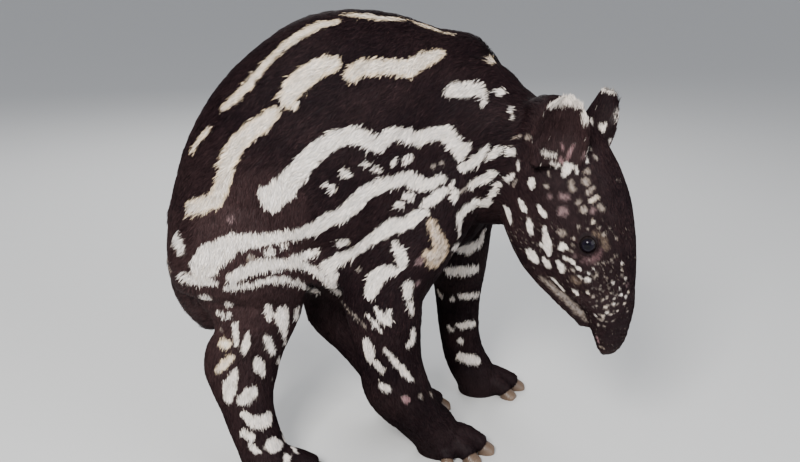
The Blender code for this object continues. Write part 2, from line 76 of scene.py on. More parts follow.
trunkSettings = {
    "base": Vector((-0.058, 0.950, 0.0)) - origin,
    "fore": turned(10),
    "left": turned(100),
    # along, height, lean, to the back, to the belly, half width
    "rows": (
        (-0.088, 0.205, 128, 0.100, 0.040, 0.046),
        (-0.088, 0.224, 112, 0.115, 0.045, 0.059),
        (-0.088, 0.244, 94, 0.114, 0.058, 0.070),
        (-0.078, 0.268, 70, 0.119, 0.070, 0.079),
        (-0.060, 0.290, 45, 0.138, 0.090, 0.085),
        (-0.040, 0.305, 25, 0.157, 0.108, 0.088),
        (-0.010, 0.315, 8, 0.177, 0.123, 0.089),
        (0.030, 0.320, -4, 0.173, 0.126, 0.087),
        (0.072, 0.315, -10, 0.163, 0.118, 0.082),
        (0.110, 0.311, -14, 0.157, 0.105, 0.072),
        (0.138, 0.304, -20, 0.124, 0.086, 0.055),
    ),
    # along, left, height, half thickness
    "tail": ((-0.168, 0.000, 0.310, 0.0120), (-0.187, 0.005, 0.292, 0.0120),
             (-0.194, 0.014, 0.270, 0.0110), (-0.192, 0.024, 0.249, 0.0090)),
}

headSettings = {
    "middle": Vector((0.2002, 0.8505, 0.276)) - origin,
    "turn": -33,
    "hang": 6,
    # down, brow edge, throat edge, half width
    "skull": (
        (-0.128, -0.016, -0.072, 0.026),
        (-0.102, 0.008, -0.089, 0.036),
        (-0.072, 0.025, -0.102, 0.044),
        (-0.038, 0.036, -0.103, 0.044),
        (-0.003, 0.040, -0.099, 0.042),
        (0.028, 0.040, -0.078, 0.037),
        (0.054, 0.038, -0.046, 0.031),
        (0.075, 0.036, -0.018, 0.026),
        (0.094, 0.031, -0.011, 0.021),
        (0.110, 0.026, -0.006, 0.017),
        (0.121, 0.019, -0.003, 0.0125),
    ),
    "jaw": (
        (-0.010, -0.018, -0.102, 0.040),
        (0.025, -0.020, -0.088, 0.033),
        (0.050, -0.018, -0.070, 0.026),
        (0.070, -0.013, -0.051, 0.020),
        (0.086, -0.009, -0.034, 0.015),
        (0.094, -0.011, -0.027, 0.010),
    ),
    "mouth": ((0.060, -0.0105, 0.028), (0.078, -0.0125, 0.0225), (0.091, -0.0145, 0.0155),
              (0.099, -0.0160, 0.004)),
    "eyeRadius": 0.0105,
    "eyeSeat": (0.000, 0.0035, 0.0345),
    "eyeOut": (0.10, 0.30, 0.95),
    "eyeProud": 0.0022,
    "eyeSlit": (0.0093, 0.0083),
    "nostril": (0.1215, 0.0010, 0.0070),
}
hang = math.radians(headSettings["hang"])
headAhead = turned(headSettings["turn"])
headRight = turned(headSettings["turn"] - 90)
headDown = math.sin(hang) * headAhead - math.cos(hang) * upward
headBrow = math.cos(hang) * headAhead + math.sin(hang) * upward

earSettings = {
    "height": 0.071,
    "width": 0.057,
    "tip": 0.006,
    "cup": 0.019,
    "wall": 0.0042,
    "floor": 0.42,
    "widest": 0.36,
    "curl": (105, 60),
    "sunk": 0.010,
    "farHeight": 0.94,
    "farTip": (0.62, 1.7),
    "grid": (25, 21),
    "seat": (-0.0875, -0.0195, 0.0450),
    "lean": {1: (0.17, 0.16), -1: (0.22, 0.24)},
}

# x, y, z, half width across, to the front, to the back
neckRows = (
    (0.030, 0.962, 0.345, 0.066, 0.112),
    (0.075, 0.948, 0.350, 0.062, 0.102),
    (0.113, 0.924, 0.342, 0.056, 0.079),
    (0.148, 0.894, 0.335, 0.048, 0.066),
)
foreToes = ((-37, 0.044, 0.90), (0, 0.052, 1.0), (36, 0.045, 0.90), (80, 0.036, 0.72))
hindToes = ((-37, 0.044, 0.90), (0, 0.053, 1.05), (37, 0.044, 0.90))
limbSettings = {
    "leg_hind_right": {"turn": 14, "toes": hindToes, "side": 1, "rows": (
        (-0.150, 0.904, 0.285, 0.048, 0.058, 0.080),
        (-0.150, 0.893, 0.240, 0.048, 0.062, 0.098),
        (-0.155, 0.896, 0.196, 0.037, 0.053, 0.086),
        (-0.160, 0.890, 0.173, 0.033, 0.049, 0.061),
        (-0.166, 0.882, 0.153, 0.030, 0.045, 0.038),
        (-0.170, 0.875, 0.136, 0.028, 0.043, 0.042),
        (-0.171, 0.868, 0.116, 0.026, 0.040, 0.042),
        (-0.166, 0.856, 0.082, 0.023, 0.030, 0.030),
        (-0.154, 0.847, 0.045, 0.023, 0.026, 0.026),
        (-0.144, 0.842, 0.018, 0.025, 0.027, 0.027),
        (-0.139, 0.841, -0.006, 0.024, 0.025, 0.027),
    )},
    "leg_hind_left": {"turn": 8, "toes": hindToes, "side": -1, "rows": (
        (-0.160, 0.968, 0.285, 0.046, 0.058, 0.072),
        (-0.125, 0.975, 0.245, 0.047, 0.060, 0.078),
        (-0.070, 0.984, 0.208, 0.041, 0.048, 0.062),
        (-0.075, 0.990, 0.170, 0.032, 0.040, 0.042),
        (-0.080, 0.993, 0.138, 0.027, 0.034, 0.036),
        (-0.052, 0.993, 0.098, 0.023, 0.027, 0.029),
        (-0.020, 0.992, 0.052, 0.023, 0.026, 0.026),
        (-0.002, 0.992, 0.020, 0.025, 0.027, 0.027),
        (0.004, 0.992, -0.006, 0.024, 0.025, 0.027),
    )},
    "leg_fore_right": {"turn": -6, "toes": foreToes, "side": 1, "rows": (
        (0.048, 0.926, 0.330, 0.040, 0.060, 0.060),
        (0.020, 0.905, 0.272, 0.040, 0.050, 0.058),
        (-0.014, 0.892, 0.212, 0.037, 0.046, 0.050),
        (-0.016, 0.886, 0.170, 0.034, 0.041, 0.042),
        (-0.011, 0.884, 0.120, 0.030, 0.037, 0.037),
        (-0.001, 0.884, 0.086, 0.030, 0.037, 0.039),
        (0.022, 0.890, 0.052, 0.026, 0.029, 0.032),
        (0.043, 0.898, 0.022, 0.027, 0.027, 0.030),
        (0.051, 0.901, -0.006, 0.025, 0.025, 0.030),
    )},
    "leg_fore_left": {"turn": 6, "toes": foreToes, "side": -1, "rows": (
        (0.066, 0.996, 0.320, 0.040, 0.055, 0.055),
        (0.068, 1.003, 0.245, 0.037, 0.044, 0.046),
        (0.072, 1.014, 0.185, 0.032, 0.034, 0.036),
        (0.073, 1.026, 0.134, 0.027, 0.028, 0.029),
        (0.077, 1.036, 0.085, 0.025, 0.026, 0.027),
        (0.087, 1.042, 0.048, 0.024, 0.026, 0.027),
        (0.101, 1.046, 0.020, 0.026, 0.026, 0.028),
        (0.106, 1.047, -0.006, 0.024, 0.025, 0.028),
    )},
}
toeShape = ((0.25, 0.0155), (0.55, 0.0142), (0.82, 0.0118))
nailSettings = {"length": 0.0190, "width": 0.0222, "height": 0.0190}


def stagePoint(x, y, z):
    return Vector((x, y, z)) - origin


def trunkPoint(along, left, height):
    level = trunkSettings["base"] + along * trunkSettings["fore"] + left * trunkSettings["left"]
    return level + height * upward


def headPoint(down, brow, right):
    return headSettings["middle"] + down * headDown + brow * headBrow + right * headRight


def eased(rows, steps):
    # a smooth curve through rows of sizes
    result = []
    for index in range(len(rows) - 1):
        around = [rows[min(max(index + offset, 0), len(rows) - 1)] for offset in (-1, 0, 1, 2)]
        for step in range(steps):
            part = step / steps
            result.append([
                0.5 * (2 * b + (c - a) * part + (2 * a - 5 * b + 4 * c - d) * part ** 2
                       + (3 * b - a - 3 * c + d) * part ** 3)
                for a, b, c, d in zip(*around)
            ])
    result.append(list(rows[-1]))
    return result


def ovalRing(centre, across, ahead, wide, front, back, sides, pinch=0.0):
    ring = []
    for step in range(sides):
        turn = 2 * math.pi * step / sides
        reach = front if math.sin(turn) > 0 else back
        narrow = 1.0 - pinch * max(math.sin(turn), 0.0)
        ring.append(centre + across * wide * narrow * math.cos(turn) + ahead * reach * math.sin(turn))
    return ring


def domedRings(rings, start, end):
    # rounds both ends of a row of rings
    middles = [sum(ring, Vector()) / len(ring) for ring in rings]
    first = (middles[0] - middles[1]).normalized() * start
    last = (middles[-1] - middles[-2]).normalized() * end
    caps = []
    for ring, middle, rise in ((rings[0], middles[0], first), (rings[-1], middles[-1], last)):
        cap = []
        for angle in (30, 55, 75):
            shrink = math.cos(math.radians(angle))
            lift = rise * math.sin(math.radians(angle))
            cap.append([middle + (point - middle) * shrink + lift for point in ring])
        caps.append(cap)
    return caps[0][::-1] + rings + caps[1]


def addShell(mesh, rings):
    rows = [[mesh.verts.new(point) for point in ring] for ring in rings]
    sides = len(rows[0])
    for row, after in zip(rows, rows[1:]):
        for step in range(sides):
            beside = (step + 1) % sides
            mesh.faces.new((row[step], row[beside], after[beside], after[step]))
    mesh.faces.new(rows[0][::-1])
    mesh.faces.new(rows[-1])


def limbAxis(limb, steps):
    # the limb's path with the directions that its foot gives it
    settings = limbSettings[limb]
    rows = eased(settings["rows"], steps)
    points = [stagePoint(*row[:3]) for row in rows]
    ahead = turned(settings["turn"])
    places = []
    for index, row in enumerate(rows):
        path = (points[min(index + 1, len(points) - 1)] - points[max(index - 1, 0)]).normalized()
        if index == len(points) - 1:
            path = -upward
        front = (ahead - ahead.dot(path) * path).normalized()
        places.append((points[index], path.cross(front), front, path, row))
    return places


def toePlaces(limb):
    settings = limbSettings[limb]
    middle = stagePoint(settings["rows"][-1][0], settings["rows"][-1][1], 0)
    for swing, reach, size in settings["toes"]:
        yield middle, turned(settings["turn"] - settings["side"] * swing), reach, size


def toeSections(middle, ahead, reach, size):
    across = upward.cross(ahead)
    tilt = (ahead - 0.45 * upward).normalized()
    lift = tilt.cross(across)
    for part, half in toeShape:
        centre = middle + ahead * reach * part + upward * (0.026 - 0.020 * part) * size
        yield centre, across, lift, half * size, half * size, half * size


def earFrame(side):
    seat = headPoint(earSettings["seat"][0], earSettings["seat"][1], side * earSettings["seat"][2])
    brow, sideways = earSettings["lean"][side]
    rise = (-headDown + headRight * side * sideways + headBrow * brow).normalized()
    opening = headRight * side * 0.86 + headBrow * 0.50
    opening = (opening - opening.dot(rise) * rise).normalized()
    return seat, rise, opening, rise.cross(opening)


def earLayer(mesh, side, inner):
    # the outside of the ear's wall, or its inside with the hollow's floor
    seat, rise, opening, across = earFrame(side)
    columns, rows = earSettings["grid"]
    narrowing, lateness = earSettings["farTip"]
    tall = 1.0 if side > 0 else earSettings["farHeight"]
    grid = []
    for row in range(rows):
        up = row / (rows - 1)
        spread = (1.0 - abs((up - earSettings["widest"]) / 0.66) ** 1.9) ** 0.5
        wall = earSettings["wall"] * (1.0 - 0.35 * up)
        fill = max(1.0 - up / earSettings["floor"], 0.0)
        line = []
        for column in range(columns):
            over = 2 * column / (columns - 1) - 1
            curl = math.radians(earSettings["curl"][0] - earSettings["curl"][1] * up)
            bend = math.sin(over * curl) / math.sin(min(curl, math.pi / 2))
            hollow = (math.cos(over * curl) - math.cos(curl)) / (1 - math.cos(curl))
            half = earSettings["width"] * 0.5 * spread
            if side < 0 and over > 0:
                # the far ear's rear edge runs straight to its tip
                half *= 1.0 - narrowing * up ** lateness
            deep = earSettings["cup"] * hollow * (1.0 - 0.45 * up)
            wallHere = wall + max(deep - wall, 0.0) * fill if inner else 0.0
            point = seat + rise * (earSettings["height"] * up * tall - earSettings["sunk"])
            point += across * (half - (wall if inner else 0.0) * 0.8 * abs(over)) * bend
            point += across * side * earSettings["tip"] * up ** 2
            point -= opening * (deep - wallHere)
            line.append(mesh.verts.new(point))
        grid.append(line)
    return grid


def addEar(mesh, side):
    # a broad cup, its hollow turned outward and a little ahead
    columns, rows = earSettings["grid"]
    outer = earLayer(mesh, side, False)
    inner = earLayer(mesh, side, True)
    for row in range(rows - 1):
        for column in range(columns - 1):
            for grid, order in ((outer, 1), (inner, -1)):
                corner = [grid[row][column], grid[row][column + 1]]
                corner += [grid[row + 1][column + 1], grid[row + 1][column]]
                mesh.faces.new(corner[::order])
        for column in (0, columns - 1):
            mesh.faces.new((outer[row][column], outer[row + 1][column],
                            inner[row + 1][column], inner[row][column]))
    for row in (0, rows - 1):
        for column in range(columns - 1):
            mesh.faces.new((outer[row][column], outer[row][column + 1],
                            inner[row][column + 1], inner[row][column]))


def eyeFrame(side):
    # the middle of the eyeball and the way that it looks
    down, brow, right = headSettings["eyeOut"]
    out = (headDown * down + headBrow * brow + headRight * side * right).normalized()
    down, brow, right = headSettings["eyeSeat"]
    seat = headPoint(down, brow, side * right)
    return seat - out * (headSettings["eyeRadius"] - headSettings["eyeProud"]), out


def nostrilSeat(side):
    down, brow, right = headSettings["nostril"]
    return headPoint(down, brow, side * right)


# the skin

skinSettings = {
    "voxel": 0.0019,
    "passes": 13,
    "softness": 0.5,
    "earFirmness": 0.38,
    "footFirmness": 0.30,
    "footHeights": (0.050, 0.030),
    "faceReach": 0.020,
    "mouthReach": 0.012,
    "eyeReach": 0.0145,
    "tailShare": 0.62,
    "flankFold": ((-0.112, -0.052, 0.238, 0.018, 0.030, 0.022), (-0.090, -0.060, 0.240, 0.020, 0.032, 0.030),
                  (-0.066, -0.062, 0.240, 0.020, 0.032, 0.036), (-0.044, -0.058, 0.238, 0.020, 0.032, 0.034),
                  (-0.028, -0.052, 0.238, 0.018, 0.028, 0.026)),
    # how far the skin lies under the surface of the solids, to leave room for the coat
    "inset": {"torso": 0.0028, "neck": 0.0026, "head": 0.0014, "proboscis": 0.0006, "tail": 0.0018,
              "ear": 0.0002, "leg": 0.0022, "foot": 0.0010},
    "insetPasses": 24,
    "footBlend": (0.075, 0.040),
    "soleReach": 0.0012,
    "floor": 0.0004,
}

# steps between rows, corners of a section, its pinch on the upper side and the rounding of both ends
formSettings = {
    "trunk": {"steps": 5, "sides": 64, "pinch": 0.10, "ends": (0.014, 0.040)},
    "neck": {"steps": 4, "sides": 48, "pinch": 0.08, "ends": (0.03, 0.03)},
    "skull": {"steps": 5, "sides": 48, "pinch": 0.12, "ends": (0.018, 0.006)},
    "jaw": {"steps": 5, "sides": 48, "pinch": 0.0, "ends": (0.02, 0.006)},
    "limb": {"steps": 4, "sides": 36, "pinch": 0.0, "ends": (0.03, 0.002)},
    "toe": {"sides": 20, "pinch": 0.0, "ends": (0.004, 0.006)},
    "tail": {"steps": 4, "sides": 20, "pinch": 0.0, "ends": (0.006, 0.008)},
    "flankFold": {"sides": 28, "pinch": 0.0, "ends": (0.008, 0.008)},
}


def easedForm(name, rows):
    return eased(rows, formSettings[name]["steps"])


def addForm(mesh, name, sections):
    # a closed form through its sections, rounded at both ends
    form = formSettings[name]
    rings = [ovalRing(*section, form["sides"], form["pinch"]) for section in sections]
    addShell(mesh, domedRings(rings, *form["ends"]))


def addBodyForms(mesh):
    fore, left = trunkSettings["fore"], trunkSettings["left"]
    sections = []
    for along, height, lean, back, belly, wide in easedForm("trunk", trunkSettings["rows"]):
        angle = math.radians(lean)
        dorsal = math.cos(angle) * upward - math.sin(angle) * fore
        sections.append((trunkPoint(along, 0, height), left, dorsal, wide, back, belly))
    addForm(mesh, "trunk", sections)

    neck = easedForm("neck", neckRows)
    points = [stagePoint(*row[:3]) for row in neck]
    sections = []
    for index, row in enumerate(neck):
        path = (points[min(index + 1, len(neck) - 1)] - points[max(index - 1, 0)]).normalized()
        across = upward.cross(path).normalized()
        sections.append((points[index], across, path.cross(across), row[3], row[4], row[4]))
    addForm(mesh, "neck", sections)

    for name in ("skull", "jaw"):
        sections = []
        for down, brow, throat, wide in easedForm(name, headSettings[name]):
            half = (brow - throat) / 2
            middle = headPoint(down, (brow + throat) / 2, 0)
            sections.append((middle, headRight, headBrow, wide, half, half))
        addForm(mesh, name, sections)

    for limb in limbSettings:
        axis = limbAxis(limb, formSettings["limb"]["steps"])
        addForm(mesh, "limb", [(point, across, front, *row[3:]) for point, across, front, path, row in axis])
        for toe in toePlaces(limb):
            addForm(mesh, "toe", toeSections(*toe))

    sections = []
    for along, swing, height, half in easedForm("tail", trunkSettings["tail"]):
        half *= skinSettings["tailShare"]
        sections.append((trunkPoint(along, swing, height), left, fore, half, half, half))
    addForm(mesh, "tail", sections)

    # the fold of skin from the thigh to the elbow
    folds = skinSettings["flankFold"]
    addForm(mesh, "flankFold", [(Vector(row[:3]), left, upward, *row[3:]) for row in folds])

    for side in (-1, 1):
        addEar(mesh, side)


def newObject(name, data):
    made = bpy.data.objects.new(name, data)
    bpy.context.scene.collection.objects.link(made)
    return made


def readArray(items, field, width, kind):
    found = np.empty(len(items) * width, dtype=kind)
    items.foreach_get(field, found)
    return found.reshape(-1, width) if width > 1 else found


def positionsOf(data):
    return readArray(data.vertices, "co", 3, np.float32).astype(np.float64)


def normalsOf(data):
    return readArray(data.vertices, "normal", 3, np.float32).astype(np.float64)


def edgesOf(data):
    return readArray(data.edges, "vertices", 2, np.int32)


def setPositions(data, points):
    data.vertices.foreach_set("co", points.astype(np.float32).ravel())
    data.update()


def closedMesh(mesh, name):
    # the finished mesh, with its faces turned outward
    mesh.normal_update()
    bmesh.ops.recalc_face_normals(mesh, faces=mesh.faces)
    data = bpy.data.meshes.new(name)
    mesh.to_mesh(data)
    mesh.free()
    return data


def placesIn(points, centre, *ways):
    # how far each point lies from a centre, along each way
    away = points - np.array(centre)
    return [away @ np.array(way) for way in ways]


def relaxed(values, edges, passes, factor):
    # eases values over neighbouring points; factor may differ from point to point
    values = np.array(values, dtype=np.float64)
    flat = values.ndim == 1
    if flat:
        values = values[:, None]
    count = len(values)
    degree = np.bincount(edges.ravel(), minlength=count)[:, None]
    factor = np.reshape(factor, (-1, 1)) if np.ndim(factor) else factor
    for _ in range(passes):
        total = np.stack([
            np.bincount(edges[:, 0], values[edges[:, 1], k], count)
            + np.bincount(edges[:, 1], values[edges[:, 0], k], count)
            for k in range(values.shape[1])
        ], axis=1)
        values += factor * (total / np.maximum(degree, 1) - values)
    return values[:, 0] if flat else values


def smoothStep(value, low, high):
    part = np.clip((value - low) / (high - low), 0.0, 1.0)
    return part * part * (3 - 2 * part)


# the width of the waves in metres, and the draw that places them
rippleSettings = {
    "snoutWrinkle": (0.035, 3),
    "markEdge": (0.0075, 11),
    "markFray": (0.0032, 12),
    "fineMottle": (0.0026, 13),
    "wideMottle": (0.0058, 14),
    "wideBrown": (0.06, 21),
    "fineBrown": (0.012, 22),
    "thighBrown": (0.014, 23),
    "faceBrown": (0.007, 24),
    "skinShade": (0.010, 31),
    "hairSwing": (0.018, 41),
    "hairLift": (0.02, 42),
    "wideStreak": (0.015, 43),
    "fleckPatch": (0.012, 44),
    "fineStreak": (0.0045, 45),
}


def ripple(points, name):
    # soft noise between about -1 and 1, made of seven waves
    grain, seed = rippleSettings[name]
    draw = np.random.default_rng(seed)
    waves = 7
    total = np.zeros(len(points))
    for _ in range(waves):
        way = draw.normal(size=3)
        way *= (0.7 + 0.8 * draw.random()) * 2 * math.pi / (grain * np.linalg.norm(way))
        total += np.sin(points @ way + draw.random() * 6.28)
    return total / math.sqrt(waves) * 0.9


def makeSkinMesh():
    mesh = bmesh.new()
    addBodyForms(mesh)
    skin = newObject("skin", closedMesh(mesh, "skin"))
    grain = skin.modifiers.new("grain", "REMESH")
    grain.mode = "VOXEL"
    grain.voxel_size = skinSettings["voxel"]
    graph = bpy.context.evaluated_depsgraph_get()
    data = bpy.data.meshes.new_from_object(skin.evaluated_get(graph))
    skin.modifiers.clear()
    skin.data = data
    return skin


def earNearness(points):
    # 1 on the ears, 0 away from them
    near = np.zeros(len(points))
    for side in (-1, 1):
        seat, rise, opening, across = earFrame(side)
        up, over, ahead = placesIn(points, seat, rise, across, opening)
        inside = smoothStep(up, 0.006, 0.020) * (np.abs(over) < 0.034)
        inside = inside * (np.abs(ahead) < 0.028)
        near = np.maximum(near, inside)
    return near


def refineNear(skin, centres, reach):
    # splits the faces near some points, so that they can carry finer forms
    mesh = bmesh.new()
    mesh.from_mesh(skin.data)
    chosen = set()
    for face in mesh.faces:
        middle = face.calc_center_median()
        if any((middle - centre).length_squared < reach * reach for centre in centres):
            chosen.update(face.edges)
    bmesh.ops.subdivide_edges(mesh, edges=list(chosen), cuts=1, use_grid_fill=True)
    mesh.to_mesh(skin.data)
    mesh.free()


fleshNodes = ("torso", "neck", "head", "proboscis", "tail", "ear_right", "ear_left",
              "leg_hind_right", "leg_hind_left", "leg_fore_right", "leg_fore_left")


def solidsTree():
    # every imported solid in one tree, with the name of the solid under each face
    points, faces, names = [], [], []
    for name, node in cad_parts.items():
        first = len(points)
        points += [vertex.co.copy() for vertex in node.data.vertices]
        for face in node.data.polygons:
            faces.append([first + index for index in face.vertices])
            names.append(name)
    return BVHTree.FromPolygons(points, faces), names


def regionsOf(points, tree, names):
    return np.array([names[tree.find_nearest(Vector(point))[2]] for point in points])


skin = makeSkinMesh()
report("skin remeshed, %d faces" % len(skin.data.polygons))

points = positionsOf(skin.data)
edges = edgesOf(skin.data)
softness = skinSettings["softness"] - skinSettings["earFirmness"] * earNearness(points)
softness -= skinSettings["footFirmness"] * smoothStep(points[:, 2], *skinSettings["footHeights"])
points = relaxed(points, edges, skinSettings["passes"], softness)
setPositions(skin.data, points)

eyeCentres = [eyeFrame(side)[0] + eyeFrame(side)[1] * headSettings["eyeRadius"] for side in (1, -1)]
nostrilCentres = [nostrilSeat(side) for side in (1, -1)]
mouthCentres = [headPoint(down, brow, side * wide)
                for down, brow, wide in headSettings["mouth"] for side in (1, -1)]
refineNear(skin, eyeCentres + nostrilCentres, skinSettings["faceReach"])
refineNear(skin, mouthCentres, skinSettings["mouthReach"])
refineNear(skin, eyeCentres, skinSettings["eyeReach"])
report("skin refined, %d faces" % len(skin.data.polygons))

tree, solidNames = solidsTree()
points = positionsOf(skin.data)
edges = edgesOf(skin.data)
regions = regionsOf(points, tree, solidNames)
onNail = np.char.startswith(regions, "nail")
report("regions read")


def insetDepth(points, regions):
    inset = skinSettings["inset"]
    depth = np.full(len(points), inset["leg"])
    for name in ("torso", "neck", "head", "proboscis", "tail"):
        depth[regions == name] = inset[name]
    depth[np.char.startswith(regions, "ear")] = inset["ear"]
    depth[np.char.startswith(regions, "eye")] = inset["head"]
    low = smoothStep(points[:, 2], *skinSettings["footBlend"])
    return depth + (inset["foot"] - depth) * low


depth = relaxed(insetDepth(points, regions), edges, skinSettings["insetPasses"], 0.5)
normals = normalsOf(skin.data)
onFloor = points[:, 2] < skinSettings["soleReach"]
points = points - normals * depth[:, None]
points[:, 2] = np.where(onFloor, skinSettings["floor"], np.maximum(points[:, 2], skinSettings["floor"]))
setPositions(skin.data, points)


# folds and openings on the head

foldSettings = {
    "eyeReach": 0.024,
    "lidFade": (0.019, 0.009),
    "lidRise": 0.0010,
    "lidSharp": 0.0006,
    "lidInside": 0.0022,
    "slitEdge": (1.05, 0.96),
    # each crease's place, depth and width
    "creases": ((1.45, 0.0004, 0.12), (1.90, 0.0004, 0.16)),
    "lipGroove": 0.0022,
    "grooveWidth": 0.0012,
    "lipSwell": 0.0010,
    "swellPlace": 0.0038,
    "swellWidth": 0.0022,
    "nostrilLean": (0.80, 0.30, 0.52),
    "nostrilHalf": (0.0056, 0.0027),
    "nostrilDeep": 0.0075,
    "nostrilEdge": (1.05, 0.35),
    "nostrilRim": 0.0008,
    "wrinkleDeep": 0.00035,
    "wrinkleStep": 0.0075,
    "wrinkleFrom": (0.050, 0.085),
}
farAway = 9.0     # the ratio of a point that lies outside a fold's reach


def headPlaces(points):
    return np.stack(placesIn(points, headSettings["middle"], headDown, headBrow, headRight), axis=1)


def shapeEye(points, side):
    # lids that lie on the eyeball, with an opening between them and creases around
    middle, out = eyeFrame(side)
    lengthWay = (headDown - headDown.dot(out) * out).normalized()
    heightWay = out.cross(lengthWay) * -side     # towards the brow side of the face
    along, over, outward = placesIn(points, middle, lengthWay, heightWay, out)
    near = (np.sqrt(along * along + over * over) < foldSettings["eyeReach"]) & (outward > -0.004)
    along, over, outward = along[near], over[near], outward[near]
    radius = headSettings["eyeRadius"]
    halfLong, halfHigh = headSettings["eyeSlit"]
    flat = np.sqrt(along * along + over * over)
    ratio = (np.abs(along / halfLong) ** 1.8 + np.abs(over / halfHigh) ** 2.0) ** 0.53
    ball = np.sqrt(np.maximum(radius ** 2 - flat ** 2, 0.0))
    shellRadius = radius + foldSettings["lidRise"]
    lid = np.sqrt(np.maximum(shellRadius ** 2 - flat ** 2, 0.0))
    raised = 0.5 * (outward + lid + np.sqrt((outward - lid) ** 2 + foldSettings["lidSharp"] ** 2))
    shaped = outward + (raised - outward) * smoothStep(flat, *foldSettings["lidFade"])
    for place, deep, wide in foldSettings["creases"]:
        uneven = 1.0 + 0.25 * np.sin(3 * np.arctan2(over, along) + 1.0)
        shaped -= deep * uneven * np.exp(-((ratio - place) / wide) ** 2)
    opened = smoothStep(ratio, *foldSettings["slitEdge"])
    shaped = shaped + (ball - foldSettings["lidInside"] - shaped) * opened
    moved = points.copy()
    moved[near] += (shaped - outward)[:, None] * np.array(out)[None]
    ratioAll = np.full(len(points), farAway)
    ratioAll[near] = ratio
    return moved, ratioAll


def shapeNostril(points, side):
    # a comma-shaped hole at the tip of the snout, with a soft rim
    down, back, sideways = foldSettings["nostrilLean"]
    out = (headDown * down - headBrow * back + headRight * side * sideways).normalized()
    lengthWay = (headBrow - headBrow.dot(out) * out + headRight * side * 0.2).normalized()
    along, over, outward = placesIn(points, nostrilSeat(side), lengthWay, out.cross(lengthWay), out)
    over = over - 0.12 * side * (along / 0.005) ** 2 * 0.004
    halfLong, halfWide = foldSettings["nostrilHalf"]
    ratio = np.sqrt((along / halfLong) ** 2 + (over / halfWide) ** 2)
    near = (ratio < 3.0) & (outward > -0.012)
    push = foldSettings["nostrilDeep"] * smoothStep(ratio, *foldSettings["nostrilEdge"])
    rim = foldSettings["nostrilRim"] * np.exp(-((ratio - 1.35) / 0.35) ** 2)
    moved = points.copy()
    moved[near] += ((rim - push)[:, None] * np.array(out)[None])[near]
    return moved, np.where(near, ratio, farAway)


def shapeMouth(points, normals):
    # a groove between the lips, from the corner of the mouth to its front
    line = np.array([headPoint(down, brow, side * wide * 1.02)
                     for side in (1, -1) for down, brow, wide in eased(headSettings["mouth"], 10)])
    half = len(line) // 2
    nearest = np.full(len(points), farAway)
    close = np.linalg.norm(points - line.mean(axis=0), axis=1) < 0.07
    for first in (0, half):
        part = line[first:first + half]
        gap = np.linalg.norm(points[close][:, None, :] - part[None], axis=2).min(axis=1)
        nearest[close] = np.minimum(nearest[close], gap)
    browSide = headPlaces(points)[:, 1]
    groove = foldSettings["lipGroove"] * np.exp(-(nearest / foldSettings["grooveWidth"]) ** 2)
    bulge = (nearest - foldSettings["swellPlace"]) / foldSettings["swellWidth"]
    swell = foldSettings["lipSwell"] * np.exp(-bulge ** 2)
    swell = swell * np.where(browSide > -0.012, 1.25, 0.8)
    return points + normals * (swell - groove)[:, None], nearest


eyeRatio = np.full(len(points), farAway)
nostrilRatio = np.full(len(points), farAway)
points, mouthGap = shapeMouth(points, normalsOf(skin.data))
for side in (1, -1):
    points, found = shapeEye(points, side)
    eyeRatio = np.minimum(eyeRatio, found)
    points, found = shapeNostril(points, side)
    nostrilRatio = np.minimum(nostrilRatio, found)

places = headPlaces(points)
onSnout = np.isin(regions, ("head", "proboscis"))
openings = np.minimum(nostrilRatio, mouthGap / 0.003)
wrinkle = smoothStep(places[:, 0], *foldSettings["wrinkleFrom"]) * onSnout * smoothStep(openings, 0.8, 2.0)
turns = places[:, 0] * 2 * math.pi / foldSettings["wrinkleStep"]
waves = np.sin(turns + 1.4 * ripple(points, "snoutWrinkle"))
depth = foldSettings["wrinkleDeep"] * wrinkle * np.maximum(waves, -0.2)
points = points - normalsOf(skin.data) * depth[:, None]
setPositions(skin.data, points)
skin.data.shade_smooth()
normals = normalsOf(skin.data)
report("head shaped")


# markings: strokes seen from the camera, laid onto the skin

